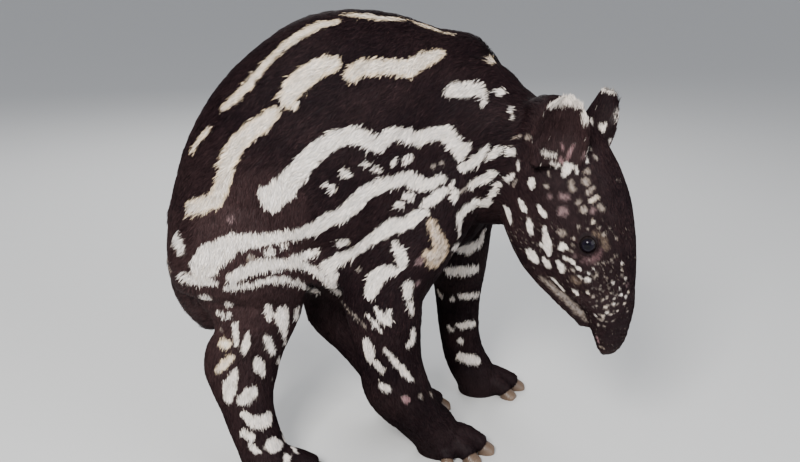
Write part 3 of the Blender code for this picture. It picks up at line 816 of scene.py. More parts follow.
# each stroke is a tone and a row of (x, y, width) on its sheet, and a sheet has a corner and a scale in
# the picture
markSheets = {
    "flank": {"corner": (150, 0), "scale": 4.48, "strokes": (
        ("cream", (345, 475, 45), (400, 430, 50), (455, 370, 50), (510, 300, 45), (560, 250, 40),
         (620, 195, 45), (690, 150, 50), (760, 115, 50), (850, 95, 30)),
        ("cream", (880, 70, 20), (940, 70, 40), (1000, 80, 38), (1060, 85, 36), (1140, 92, 20)),
        ("cream", (1185, 103, 16), (1230, 120, 26), (1290, 140, 22), (1355, 158, 12)),
        ("cream", (265, 580, 35), (240, 608, 25), (210, 650, 32), (190, 682, 20)),
        ("cream", (820, 285, 80), (760, 300, 95), (690, 350, 105), (640, 400, 105), (618, 440, 80),
         (645, 468, 50)),
        ("cream", (905, 335, 70), (950, 300, 80), (1030, 300, 80), (1100, 300, 78), (1160, 305, 85),
         (1220, 270, 78), (1300, 240, 50)),
        ("cream", (560, 505, 60), (510, 550, 85), (450, 590, 85), (390, 650, 90), (355, 720, 85),
         (340, 790, 75), (320, 850, 75), (290, 900, 80), (240, 920, 85), (190, 930, 75)),
        ("white", (1355, 405, 65), (1400, 400, 75), (1470, 400, 70)),
        ("white", (1505, 405, 18), (1500, 455, 32)), ("cream", (1525, 262, 36), (1528, 280, 36)),
        ("white", (1570, 415, 45)),
        ("white", (500, 850, 30), (545, 890, 110), (590, 850, 118), (640, 800, 100), (690, 740, 90),
         (740, 680, 90), (800, 640, 85), (860, 610, 75), (930, 600, 70), (990, 630, 80), (1030, 650, 66),
         (1080, 600, 62), (1140, 600, 60), (1200, 620, 62), (1260, 600, 62), (1320, 592, 68),
         (1360, 630, 75), (1390, 690, 60), (1425, 655, 40)), ("white", (560, 935, 45), (575, 900, 60)),
        ("white", (1400, 750, 40), (1450, 730, 48), (1490, 690, 40), (1515, 658, 22)),
        ("white", (1530, 700, 32), (1566, 670, 36)), ("white", (795, 825, 28), (825, 850, 28)),
        ("white", (868, 763, 28), (890, 785, 24)), ("white", (962, 730, 22), (980, 740, 18)),
        ("white", (1005, 752, 16), (1030, 766, 14)), ("white", (1095, 725, 32)),
        ("white", (1142, 712, 26), (1160, 712, 30)), ("dim", (1305, 730, 20)), ("dim", (1270, 745, 20)),
        ("white", (215, 1190, 80), (260, 1150, 118), (310, 1130, 115), (370, 1090, 90), (440, 1080, 68),
         (510, 1070, 58), (600, 1055, 52), (680, 1045, 58), (740, 1020, 68), (800, 985, 70),
         (860, 960, 75), (920, 910, 75), (970, 860, 75), (1030, 830, 65), (1090, 815, 60),
         (1150, 790, 60), (1200, 820, 70), (1250, 828, 50), (1310, 800, 36)),
        ("white", (235, 1225, 70), (270, 1205, 70)),
        ("white", (790, 1190, 55), (850, 1160, 52), (920, 1125, 48), (980, 1080, 55), (1040, 1040, 60),
         (1090, 1010, 76), (1150, 1000, 60), (1200, 965, 55), (1240, 950, 26)),
        ("white", (370, 1250, 58), (420, 1215, 60), (490, 1190, 65), (560, 1185, 60), (630, 1175, 45),
         (700, 1190, 40), (760, 1225, 45), (810, 1270, 50), (845, 1310, 30)),
        ("white", (800, 1195, 45), (822, 1225, 45), (815, 1265, 45)),
        ("white", (620, 1160, 24), (700, 1142, 42), (742, 1130, 34)),
        ("white", (345, 1290, 32), (430, 1280, 30), (500, 1262, 30), (560, 1250, 34), (620, 1250, 30),
         (680, 1275, 24), (750, 1305, 24)), ("white", (150, 1240, 52), (200, 1255, 50), (290, 1265, 34)),
        ("white", (118, 1062, 52), (140, 1100, 50), (148, 1130, 26)),
        ("dim", (85, 1160, 14), (98, 1215, 16)), ("white", (235, 1330, 42), (262, 1330, 38)),
        ("dim", (450, 1155, 34)), ("white", (520, 1133, 30), (545, 1128, 34)),
        ("white", (590, 1103, 22), (608, 1103, 24)), ("white", (848, 1085, 38), (872, 1085, 38)),
        ("pink", (365, 975, 30)),
        ("white", (1105, 1215, 32), (1050, 1212, 62), (1010, 1252, 78), (990, 1310, 58)),
        ("white", (1147, 875, 38), (1172, 880, 38)), ("white", (1110, 914, 34), (1130, 920, 26)),
        ("white", (1365, 862, 38), (1362, 885, 38)), ("white", (1345, 840, 16), (1362, 812, 14)),
        ("white", (1235, 915, 40), (1280, 882, 52), (1322, 852, 30)),
        ("dim", (1390, 860, 10), (1430, 825, 12)),
        ("white", (1440, 830, 30), (1500, 802, 44), (1542, 775, 34)),
        ("white", (1565, 825, 26), (1530, 880, 26), (1505, 912, 40), (1460, 905, 45), (1410, 940, 42),
         (1385, 970, 36), (1388, 1045, 14)),
        ("white", (1365, 1105, 42), (1430, 1112, 54), (1480, 1080, 38), (1496, 1030, 16)),
        ("amber", (1262, 1000, 40), (1290, 1060, 56), (1310, 1120, 72), (1285, 1155, 90),
         (1248, 1140, 50)), ("white", (1100, 1088, 30), (1130, 1140, 52), (1130, 1185, 46)),
        ("white", (1155, 1275, 46), (1158, 1320, 44)), ("pink", (1200, 1265, 24)),
        ("pink", (1210, 1170, 28)), ("dim", (940, 1205, 20)),
        ("white", (1340, 1212, 46), (1400, 1212, 52), (1460, 1205, 42)),
    )},
    "foreRight": {"corner": (290, 200), "scale": 6.533, "strokes": (
        ("white", (785, 680, 50), (795, 730, 44)),
        ("white", (560, 700, 30), (600, 770, 56), (640, 790, 60), (650, 720, 30)),
        ("dim", (340, 660, 14), (410, 740, 18), (490, 820, 16)),
        ("white", (500, 740, 20), (550, 800, 26), (600, 860, 20)),
        ("white", (500, 930, 60), (515, 980, 85), (525, 1040, 60)),
        ("white", (565, 1075, 50), (600, 1110, 50)),
        ("white", (620, 980, 22), (690, 1060, 40), (740, 1120, 46), (790, 1170, 34)),
        ("white", (800, 850, 36), (805, 910, 50), (770, 950, 40)),
        ("white", (870, 1075, 40), (890, 1130, 46)), ("white", (600, 1210, 44), (640, 1235, 44)),
        ("dim", (850, 1280, 36)), ("dim", (920, 1270, 34)), ("sore", (750, 1295, 44), (765, 1308, 44)),
    )},
    "hindRight": {"corner": (195, 285), "scale": 6.0, "strokes": (
        ("white", (440, 130, 50), (446, 195, 40)),
        ("white", (518, 165, 90), (530, 225, 90), (535, 272, 50), (538, 312, 20)),
        ("white", (610, 150, 46), (604, 192, 38)), ("white", (203, 108, 56)),
        ("white", (140, 165, 34), (180, 186, 36), (215, 182, 28)), ("dim", (160, 270, 22)),
        ("white", (245, 240, 34), (246, 290, 36), (250, 362, 20)),
        ("cream", (160, 345, 48), (190, 356, 62)),
        ("white", (318, 308, 32), (304, 352, 52), (292, 402, 36)),
        ("white", (425, 318, 34), (445, 362, 50), (470, 412, 34)),
        ("cream", (140, 510, 42), (178, 475, 56), (220, 440, 40)),
        ("white", (370, 455, 42), (388, 492, 68), (402, 530, 42)),
        ("white", (245, 510, 22), (225, 560, 56), (205, 622, 86), (202, 682, 58)),
        ("white", (345, 642, 68), (320, 665, 84), (280, 692, 58)),
        ("white", (290, 775, 34), (320, 805, 58), (380, 830, 74), (430, 812, 78), (446, 780, 46)),
        ("white", (290, 890, 44), (338, 916, 50)), ("white", (335, 965, 34), (376, 1002, 36)),
        ("white", (440, 966, 50), (470, 960, 88), (500, 956, 66)),
        ("white", (542, 322, 18), (535, 352, 20)), ("white", (497, 440, 22), (502, 482, 22)),
        ("dim", (462, 562, 16)), ("white", (468, 652, 26), (474, 690, 24)),
        ("white", (520, 888, 30), (530, 926, 26)), ("white", (552, 1040, 50)),
        ("white", (590, 972, 24), (602, 1002, 26)),
    )},
    "foreLeft": {"corner": (400, 160), "scale": 7.125, "strokes": (
        ("white", (430, 970, 44), (490, 970, 58), (550, 960, 50)),
        ("white", (420, 1180, 44), (470, 1180, 58), (520, 1170, 50)),
        ("white", (430, 1400, 66), (490, 1420, 80), (550, 1430, 60)),
        ("white", (275, 940, 40), (292, 965, 44)), ("white", (370, 990, 44)), ("white", (265, 1060, 44)),
        ("white", (270, 1140, 44)), ("white", (352, 1195, 40), (368, 1208, 40)),
        ("white", (430, 1290, 50)), ("white", (590, 1330, 50)), ("dim", (240, 960, 30)),
    )},
    "ear": {"corner": (505, 85), "scale": 11.2, "strokes": (
        ("white", (690, 900, 90), (690, 945, 110), (665, 1000, 50)), ("white", (740, 905, 60)),
        ("white", (24, 1390, 80), (42, 1445, 112), (60, 1505, 88)),
        ("white", (395, 738, 16), (440, 762, 38), (500, 782, 50), (565, 785, 36)),
        ("canal", (775, 665, 30), (730, 740, 36), (690, 820, 30)),
        ("canal", (630, 650, 18), (650, 700, 22)), ("canal", (620, 820, 44), (650, 870, 38)),
        ("white", (525, 865, 46), (545, 880, 40)), ("white", (600, 885, 26), (565, 920, 24)),
        ("white", (800, 920, 34), (805, 980, 38)), ("white", (915, 810, 34), (918, 850, 38)),
        ("pink", (870, 800, 22), (895, 765, 22)), ("dim", (962, 720, 34)),
        ("dim", (1000, 800, 30), (1030, 830, 36)), ("grey", (915, 970, 64)), ("grey", (905, 1085, 90)),
        ("grey", (735, 1095, 50), (755, 1160, 66)), ("dim", (465, 1135, 54)),
        ("white", (300, 1085, 86), (297, 1120, 88)), ("dim", (485, 970, 26), (490, 1010, 30)),
        ("white", (970, 400, 54), (970, 450, 46)),
        ("white", (1075, 460, 54), (1095, 500, 50), (1125, 445, 36)), ("white", (1178, 620, 44)),
        ("grey", (935, 1200, 50), (985, 1160, 44)), ("pale", (960, 1300, 46), (1030, 1250, 50)),
        ("grey", (880, 1400, 80)), ("grey", (820, 1310, 60)), ("pink", (985, 1410, 70)),
        ("grey", (1050, 1360, 46), (1100, 1390, 50)), ("pink", (630, 1245, 60), (690, 1260, 70)),
        ("pink", (650, 1420, 110)), ("white", (185, 1320, 80), (205, 1370, 90), (225, 1400, 60)),
        ("white", (385, 1375, 56), (420, 1430, 76), (450, 1465, 50)),
        ("white", (150, 880, 44), (148, 940, 32)), ("white", (60, 725, 70), (90, 770, 66)),
        ("white", (25, 760, 60)), ("grey", (120, 590, 34), (170, 575, 40)),
        ("grey", (245, 590, 54), (280, 590, 44)), ("white", (68, 250, 30), (78, 320, 44), (88, 375, 34)),
        ("white", (20, 1060, 60), (60, 1040, 70), (95, 1005, 40)),
        ("dim", (130, 1065, 24), (92, 1130, 26)), ("pink", (500, 1250, 40)), ("dim", (1250, 1060, 20)),
        ("dim", (1285, 1075, 20)),
    )},
    "face": {"corner": (525, 215), "scale": 10.817, "strokes": (
        ("white", (40, 60, 56), (52, 120, 96), (66, 180, 70)),
        ("white", (212, 130, 28), (222, 210, 66), (238, 290, 100), (245, 370, 96), (255, 420, 60)),
        ("white", (175, 320, 50)), ("white", (40, 400, 90), (75, 430, 120), (115, 480, 100)),
        ("white", (215, 490, 66), (240, 525, 88), (268, 560, 60)),
        ("white", (362, 515, 60), (388, 560, 84), (390, 610, 50)),
        ("grey", (375, 185, 50), (410, 200, 70)),
        ("white", (380, 360, 50), (412, 335, 76), (440, 350, 50)),
        ("white", (432, 465, 40), (470, 482, 34)), ("white", (500, 490, 50), (522, 510, 52)),
        ("white", (575, 580, 46)), ("dim", (520, 600, 34)), ("white", (690, 630, 28)),
        ("white", (585, 665, 26), (612, 685, 24)), ("white", (668, 688, 44), (690, 700, 36)),
        ("pale", (770, 655, 28)), ("white", (740, 580, 24)), ("tan", (525, 690, 60), (560, 715, 62)),
        ("white", (550, 825, 56), (565, 850, 40)), ("pale", (675, 835, 36)), ("dim", (735, 880, 30)),
        ("white", (950, 740, 26)), ("white", (1045, 520, 24)), ("dim", (975, 445, 24), (1000, 440, 18)),
        ("dim", (940, 485, 22)), ("pale", (1045, 595, 24)), ("dim", (1050, 655, 22)),
        ("white", (1085, 690, 24)), ("pink", (1105, 750, 24)), ("white", (1025, 795, 22)),
        ("pale", (1122, 832, 24)), ("white", (1040, 865, 26)), ("white", (1090, 885, 24)),
        ("pale", (965, 905, 22)), ("pale", (885, 890, 24)), ("pale", (850, 915, 24)),
        ("pale", (872, 998, 36)), ("white", (960, 965, 26)), ("pale", (1075, 955, 26)),
        ("pale", (1002, 1035, 22)), ("white", (885, 1060, 24)), ("pale", (940, 1075, 22)),
        ("dim", (1110, 1040, 22)), ("white", (755, 1075, 20), (768, 1090, 26)), ("pale", (845, 1095, 34)),
        ("dim", (812, 1130, 28)), ("dim", (795, 1190, 28)), ("dim", (1000, 960, 18)),
        ("dim", (930, 840, 18)), ("dim", (985, 870, 18)), ("dim", (1070, 740, 16)),
        ("dim", (905, 790, 16)), ("dim", (990, 250, 20)), ("pale", (735, 75, 44)),
        ("dim", (805, 140, 26)), ("dim", (920, 145, 18)), ("dim", (580, 130, 40)),
        ("dim", (530, 255, 36)), ("dim", (520, 320, 24)), ("dim", (505, 395, 30)),
        ("pink", (540, 445, 26)), ("dim", (850, 215, 40)), ("dim", (680, 150, 30)),
        ("paleSkin", (180, 680, 34), (260, 745, 66), (330, 810, 76), (440, 900, 84), (520, 980, 84),
         (600, 1060, 70), (655, 1130, 34)), ("white", (305, 685, 30), (350, 735, 42), (415, 805, 34)),
        ("dim", (520, 905, 14), (565, 868, 14)),
        ("pinkSkin", (640, 490, 60), (720, 490, 84), (790, 450, 60), (830, 380, 40)),
        ("tan", (860, 290, 60), (870, 350, 60)), ("tan", (760, 200, 40), (830, 240, 40)),
        ("canal", (780, 1325, 30), (797, 1380, 28)), ("grey", (812, 1420, 24), (850, 1442, 20)),
    )},
}

# how strongly a tone shows, how warm it is, how pink, how much its edge wanders and how soft it is in metres
toneSettings = {
    "white": (1.0, 0.12, 0.0, 0.0010, 0.0005),
    "cream": (1.0, 0.62, 0.0, 0.0012, 0.0006),
    "amber": (0.88, 1.0, 0.15, 0.0010, 0.0012),
    "pale": (0.75, 0.35, 0.05, 0.0004, 0.0006),
    "grey": (0.42, 0.35, 0.15, 0.0010, 0.0014),
    "dim": (0.36, 0.3, 0.1, 0.0004, 0.0008),
    "tan": (0.20, 0.8, 0.25, 0.0016, 0.0030),
    "pink": (0.42, 0.0, 0.85, 0.0014, 0.0024),
    "pinkSkin": (0.22, 0.2, 1.0, 0.0012, 0.0028),
    "paleSkin": (0.30, 0.35, 0.10, 0.0020, 0.0028),
    "sore": (0.75, 0.3, 1.0, 0.0003, 0.0005),
    "canal": (0.52, 0.3, 1.0, 0.0004, 0.0007),
}

skinTree = BVHTree.FromPolygons([Vector(point) for point in points],
                                [tuple(face.vertices) for face in skin.data.polygons])
eyePoint = Vector((0, 0, viewSettings["height"])) - origin
viewTurn = Matrix.Rotation(math.radians(viewSettings["pitch"]), 3, "X")
report("skin tree built")


def skinUnder(x, y, before):
    # the place on the skin that a point of the picture shows, and its size there
    way = viewTurn @ Vector(((x - viewSettings["wide"] / 2) / viewSettings["focal"],
                             (viewSettings["tall"] / 2 - y) / viewSettings["focal"], -1.0))
    hit = skinTree.ray_cast(eyePoint, way.normalized())[0]
    if hit is None:
        reach = (before - eyePoint).length if before is not None else 1.0
        hit = skinTree.find_nearest(eyePoint + way.normalized() * reach)[0]
    deep = (hit - eyePoint).dot(viewTurn @ Vector((0, 0, -1)))
    return hit, deep / viewSettings["focal"]


def layStroke(sheet, stroke):
    # a row of round dabs on the skin: place and radius
    dabs = []
    rows = stroke[1:]
    before = None
    for index, row in enumerate(rows):
        after = rows[min(index + 1, len(rows) - 1)]
        length = math.hypot(after[0] - row[0], after[1] - row[1]) / sheet["scale"]
        steps = max(1, int(length / 1.4))
        for step in range(steps):
            part = step / steps
            x, y, wide = (row[k] + (after[k] - row[k]) * part for k in range(3))
            pictureX = sheet["corner"][0] + x / sheet["scale"]
            pictureY = sheet["corner"][1] + y / sheet["scale"]
            hit, grain = skinUnder(pictureX, pictureY, before)
            before = hit
            dabs.append((hit, 0.5 * wide / sheet["scale"] * grain))
    return dabs


limbPaths = {limb: limbAxis(limb, 6) for limb in limbSettings}
limbPairs = {"leg_hind_right": "leg_hind_left", "leg_hind_left": "leg_hind_right",
             "leg_fore_right": "leg_fore_left", "leg_fore_left": "leg_fore_right"}
headNodes = ("head", "proboscis", "eye_right", "eye_left")


def limbSurface(limb, part, angle):
    # the skin of a limb at a share of its path and an angle from its front, to the animal's right
    path = limbPaths[limb]
    point, across, front, way, row = path[min(int(part * len(path)), len(path) - 1)]
    out = front * math.cos(angle) + across * math.sin(angle)
    return skinTree.ray_cast(point, out)[0]


def mirroredDab(place, name):
    # the same place on the animal's other side
    if name in limbPairs:
        path = limbPaths[name]
        index = min(range(len(path)), key=lambda k: (path[k][0] - place).length_squared)
        point, across, front, way, row = path[index]
        away = place - point
        angle = math.atan2(away.dot(across), away.dot(front))
        return limbSurface(limbPairs[name], index / len(path), -angle)
    if name in headNodes + ("ear_right", "ear_left"):
        away = place - headSettings["middle"]
        return skinTree.find_nearest(place - 2 * away.dot(headRight) * headRight)[0]
    away = place - trunkSettings["base"]
    aside = away.dot(trunkSettings["left"]) + (0.03 if name == "neck" else 0.0)
    return skinTree.find_nearest(place - 2 * aside * trunkSettings["left"])[0]


def hidden(place):
    # a place on the side of the skin that the picture doesn't show
    return skinTree.find_nearest(place)[1].dot(eyePoint - place) < 0


# where the specks lie, down the face and towards its brow, and their size
fleckSettings = {"count": 150, "from": 0.014, "to": 0.094, "low": 0.002, "high": 0.044, "radius": 0.00054}

# spots on the sides of the legs that the picture doesn't show
limbSpotSettings = {
    "count": 16,
    "dabs": 4,
    "from": 0.42,
    "span": 0.46,
    "radius": 0.003,
    "radiusSpan": 0.0035,
    # degrees from the leg's front: the least, and how far past it
    "turn": (50, 90),
    "leftForeTurn": (110, 60),
}


def faceFlecks(shift):
    # many fine pale specks between the eye and the snout
    flecks = []
    for index in range(fleckSettings["count"]):
        down = fleckSettings["from"] + (fleckSettings["to"] - fleckSettings["from"]) * shift.random() ** 0.8
        brow = fleckSettings["low"] + (fleckSettings["high"] - fleckSettings["low"]) * shift.random()
        side = 1 if index % 2 else -1
        place = skinTree.find_nearest(headPoint(down, brow, side * 0.05))[0]
        radius = fleckSettings["radius"] * (0.6 + 0.9 * shift.random() ** 2)
        flecks.append((("pale", "dim", "white", "dim")[index % 4], [(place, radius)]))
    return flecks


def mirroredDabs(dabs, swell, slide):
    # the same stroke on the animal's other side, a little moved, where the picture doesn't show it
    twins = []
    for place, radius in dabs:
        name = solidNames[tree.find_nearest(place)[2]]
        if name.startswith("nail"):
            continue
        other = mirroredDab(place, name)
        if other is not None and hidden(other):
            other = skinTree.find_nearest(other + slide * min(1.0, radius / 0.004))[0]
            twins.append((other, radius * swell))
    return twins


def limbSpot(limb, shift):
    side = limbSettings[limb]["side"]
    part = limbSpotSettings["from"] + limbSpotSettings["span"] * shift.random()
    least, span = limbSpotSettings["turn"]
    angle = -side * math.radians(least + span * shift.random())
    if limb == "leg_fore_left":
        least, span = limbSpotSettings["leftForeTurn"]
        angle = side * math.radians(least + span * shift.random())
    radius = limbSpotSettings["radius"] + limbSpotSettings["radiusSpan"] * shift.random()
    row = [limbSurface(limb, part + 0.012 * step * shift.random(), angle + 0.06 * step)
           for step in range(limbSpotSettings["dabs"])]
    return [(place, radius) for place in row if place is not None and hidden(place)]


def makeMarks():
    marks = []
    shift = np.random.default_rng(5)
    for sheet in markSheets.values():
        for stroke in sheet["strokes"]:
            tone = stroke[0]
            dabs = layStroke(sheet, stroke)
            marks.append((tone, dabs))
            if tone == "sore":
                continue     # it is on one leg alone
            swell = 0.85 + 0.3 * shift.random()
            slide = Vector(shift.normal(size=3)) * 0.0025
            marks.append((tone, mirroredDabs(dabs, swell, slide)))
    for limb in limbSettings:
        for _ in range(limbSpotSettings["count"]):
            marks.append(("white", limbSpot(limb, shift)))
    return marks + faceFlecks(shift)


def paint(points, marks):
    # how pale, warm and pink each point is; a gap below zero lies inside a mark
    pale = np.zeros(len(points))
    warm = np.zeros(len(points))
    pink = np.zeros(len(points))
    wander = ripple(points, "markEdge") * 0.7 + ripple(points, "markFray") * 0.5
    mottle = ripple(points, "fineMottle") + 0.6 * ripple(points, "wideMottle")
    for tone, dabs in marks:
        if not dabs:
            continue
        strength, warmth, pinkness, edge, soft = toneSettings[tone]
        places = np.array([place for place, radius in dabs])
        radii = np.array([radius for place, radius in dabs])
        edge = min(edge, 0.35 * radii.mean())
        margin = radii.max() + 0.003
        low, high = places.min(axis=0) - margin, places.max(axis=0) + margin
        near = np.nonzero(np.all((points > low) & (points < high), axis=1))[0]
        if not len(near):
            continue
        gap = (np.linalg.norm(points[near][:, None, :] - places[None], axis=2) - radii[None]).min(axis=1)
        gap = gap + wander[near] * edge
        amount = strength * smoothStep(gap, soft, -soft)
        if soft > 0.001:
            amount = amount * (1.0 - 0.65 * smoothStep(mottle[near], 0.1, 0.9))
        stronger = amount > pale[near]
        chosen = near[stronger]
        pale[chosen] = amount[stronger]
        # a stripe is warmer towards its edge
        edgeWarmth = np.clip(warmth * (0.55 + 0.9 * smoothStep(gap, -0.0040, -0.0004)), 0.0, 1.0)
        warm[chosen] = edgeWarmth[stronger]
        pink[chosen] = pinkness
    return pale, warm, pink


marks = makeMarks()
report("markings laid, %d strokes" % len(marks))


def earParts(points, facing):
    # how far each point is inside the cup of an ear, and on its pale rim
    inside = np.zeros(len(points))
    rim = np.zeros(len(points))
    for side in (1, -1):
        seat, rise, opening, across = earFrame(side)
        up, over, ahead = placesIn(points, seat, rise, across, opening)
        up = (up + earSettings["sunk"]) / earSettings["height"]
        over = over * side / (earSettings["width"] * 0.5)
        near = (up > 0.05) & (up < 1.1) & (np.abs(over) < 1.3) & (np.abs(ahead) < 0.030)
        top = smoothStep(up, 0.82, 0.94) * smoothStep(over, -0.90, -0.50)
        edge = smoothStep(up, 0.55, 0.78) * smoothStep(over, 0.62, 0.84)
        if side < 0:
            top = smoothStep(up, 0.86, 0.95)
            edge = smoothStep(up, 0.45, 0.75) * smoothStep(over, 0.80, 0.98)
        rim = np.maximum(rim, near * np.maximum(top, edge))
        inside = np.maximum(inside, near * smoothStep(facing @ np.array(opening), 0.0, 0.4))
    return inside, rim


# materials


def addAttribute(data, name, values):
    layer = data.attributes.new(name, "FLOAT", "POINT")
    layer.data.foreach_set("value", np.ascontiguousarray(values, dtype=np.float32))


def nodeAt(treeOfNodes, kind, x, y):
    node = treeOfNodes.nodes.new(kind)
    node.location = (x, y)
    return node


coatColours = {
    "dark": (0.0066, 0.0031, 0.0043, 1.0),
    "brown": (0.036, 0.0195, 0.0195, 1.0),
    "white": (0.76, 0.705, 0.665, 1.0),
    "cream": (0.68, 0.52, 0.33, 1.0),
    "pink": (0.40, 0.23, 0.24, 1.0),
}


def plug(group, socket, value):
    # a value is another node's socket or a plain number or colour
    if isinstance(value, bpy.types.NodeSocket):
        group.links.new(value, socket)
    else:
        socket.default_value = value


def mixNode(group, x, y, first, second, factor):
    node = nodeAt(group, "ShaderNodeMix", x, y)
    node.data_type = "RGBA"
    for socket, value in ((node.inputs["Factor"], factor), (node.inputs[6], first), (node.inputs[7], second)):
        plug(group, socket, value)
    return node.outputs[2]


def mathNode(group, x, y, operation, *values):
    node = nodeAt(group, "ShaderNodeMath", x, y)
    node.operation = operation
    for socket, value in zip(node.inputs, values):
        plug(group, socket, value)
    return node.outputs[0]


def addBump(nodes, shader, y, height, strength, distance):
    bump = nodeAt(nodes, "ShaderNodeBump", -200, y)
    bump.inputs["Strength"].default_value = strength
    bump.inputs["Distance"].default_value = distance
    nodes.links.new(height, bump.inputs["Height"])
    nodes.links.new(bump.outputs["Normal"], shader.inputs["Normal"])


def makeCoatGroup():
    # the animal's colours from its markings, lighter or darker by Shade, which holds random tone and
    # painted shade: used by the skin and by the coat
    group = bpy.data.node_groups.new("tapirColours", "ShaderNodeTree")
    face = group.interface
    for name, default in (("Pale", 0.0), ("Warm", 0.0), ("Pink", 0.0), ("Brown", 0.0), ("Shade", 0.5)):
        face.new_socket(name=name, in_out="INPUT", socket_type="NodeSocketFloat").default_value = default
    face.new_socket(name="Colour", in_out="OUTPUT", socket_type="NodeSocketColor")
    entry = nodeAt(group, "NodeGroupInput", -900, 0)
    leave = nodeAt(group, "NodeGroupOutput", 600, 0)
    dark = mixNode(group, -600, 200, coatColours["dark"], coatColours["brown"], entry.outputs["Brown"])
    light = mixNode(group, -600, -100, coatColours["white"], coatColours["cream"], entry.outputs["Warm"])
    light = mixNode(group, -400, -100, light, coatColours["pink"], entry.outputs["Pink"])
    mixed = mixNode(group, -200, 0, dark, light, entry.outputs["Pale"])
    # Shade scales the colour: random tone, and painted shade at hair roots, nostrils and lips
    bright = mathNode(group, -200, -300, "MULTIPLY_ADD", entry.outputs["Shade"], 0.9, 0.55)
    scaled = nodeAt(group, "ShaderNodeVectorMath", 200, 0)
    scaled.operation = "SCALE"
    group.links.new(mixed, scaled.inputs[0])
    group.links.new(bright, scaled.inputs["Scale"])
    group.links.new(scaled.outputs[0], leave.inputs["Colour"])
    return group


coatGroup = makeCoatGroup()


def attributeSocket(material, name, y):
    node = nodeAt(material.node_tree, "ShaderNodeAttribute", -900, y)
    node.attribute_name = name
    return node.outputs["Fac"]


def newMaterial(name):
    made = bpy.data.materials.new(name)
    made.use_nodes = True
    return made, made.node_tree, made.node_tree.nodes["Principled BSDF"]


def addColours(material, nodes, shader, y):
    # the markings' colours on a material, from the attributes of its mesh
    group = nodeAt(nodes, "ShaderNodeGroup", -400, y)
    group.node_tree = coatGroup
    for name, place in (("Pale", 300), ("Warm", 100), ("Pink", -100), ("Brown", -300), ("Shade", -500)):
        nodes.links.new(attributeSocket(material, name.lower(), place), group.inputs[name])
    nodes.links.new(group.outputs["Colour"], shader.inputs["Base Color"])


def makeCoatMaterial():
    material, nodes, shader = newMaterial("coat")
    addColours(material, nodes, shader, 100)
    shader.inputs["Roughness"].default_value = 0.55
    shader.inputs["Specular IOR Level"].default_value = 0.05
    return material


def makeSkinMaterial():
    # the hide under the coat, smoother where it is bare, with pores and fine grain
    material, nodes, shader = newMaterial("hide")
    addColours(material, nodes, shader, 200)
    bare = attributeSocket(material, "bare", -700)
    rough = mathNode(nodes, -400, -300, "MULTIPLY_ADD", bare, -0.18, 0.68)
    nodes.links.new(rough, shader.inputs["Roughness"])
    shader.inputs["Specular IOR Level"].default_value = 0.12
    grain = nodeAt(nodes, "ShaderNodeTexNoise", -700, -900)
    grain.inputs["Scale"].default_value = 900.0
    grain.inputs["Detail"].default_value = 3.0
    pores = nodeAt(nodes, "ShaderNodeTexVoronoi", -700, -1150)
    pores.inputs["Scale"].default_value = 620.0
    place = nodeAt(nodes, "ShaderNodeTexCoord", -950, -1000)
    nodes.links.new(place.outputs["Object"], grain.inputs["Vector"])
    nodes.links.new(place.outputs["Object"], pores.inputs["Vector"])
    height = mathNode(nodes, -450, -950, "MULTIPLY_ADD", pores.outputs["Distance"], 0.8, grain.outputs["Fac"])
    addBump(nodes, shader, -700, height, 0.35, 0.0006)
    return material


coatMaterial = makeCoatMaterial()
skinMaterial = makeSkinMaterial()


# how brown and how bare the hide is

brownSettings = {
    "least": 0.16,
    "rump": 0.5,
    "rumpAlong": (-0.06, -0.19),
    "rumpHeight": (0.42, 0.25),
    "cheek": 0.16,
    "cheekFrom": (0.040, 0.0),
    "thigh": 0.50,
    "thighHeight": (0.10, 0.22),
    "passes": 60,
}


def brownness(points, regions):
    # the rump, the thighs and the cheeks are browner than the rest
    along = placesIn(points, trunkSettings["base"], trunkSettings["fore"])[0]
    rump = smoothStep(along, *brownSettings["rumpAlong"])
    rump = rump * smoothStep(points[:, 2], *brownSettings["rumpHeight"])
    brown = brownSettings["least"] + brownSettings["rump"] * rump
    brown += 0.12 * ripple(points, "wideBrown") + 0.06 * ripple(points, "fineBrown")
    cheek = brownSettings["cheek"] * smoothStep(headPlaces(points)[:, 1], *brownSettings["cheekFrom"])
    cheek = cheek + 0.08 * ripple(points, "faceBrown")
    brown = np.where(np.isin(regions, ("head", "proboscis")), brown + cheek, brown)
    thigh = brownSettings["thigh"] * smoothStep(points[:, 2], *brownSettings["thighHeight"])
    thigh = thigh + 0.2 * ripple(points, "thighBrown")
    brown = np.where(np.isin(regions, ("leg_hind_right", "leg_hind_left")), brown + thigh, brown)
    return np.clip(brown, 0.0, 1.0)


pale, warm, pink = paint(points, marks)
inEar, earRim = earParts(points, normals)
onEar = np.char.startswith(regions, "ear")
pale = np.where(onEar, np.maximum(pale, earRim * 0.95), pale)
warm = np.where(onEar & (earRim > 0.3), 0.25, warm)
snoutTip = smoothStep(headPlaces(points)[:, 0], 0.112, 0.122) * (regions == "proboscis")
bare = np.maximum(onFloor * 1.0, onNail * 1.0)
for hairless in (smoothStep(eyeRatio, 1.9, 1.25), smoothStep(nostrilRatio, 2.4, 1.4),
                 smoothStep(mouthGap, 0.0045, 0.0020), snoutTip):
    bare = np.maximum(bare, hairless)
brown = relaxed(brownness(points, regions), edges, brownSettings["passes"], 0.5)
brown = np.where((bare > 0.5) & (eyeRatio > 3.0), np.clip(brown + 0.30, 0, 1), brown)
brown = np.where(onEar, np.maximum(brown, 0.45 * inEar), brown)
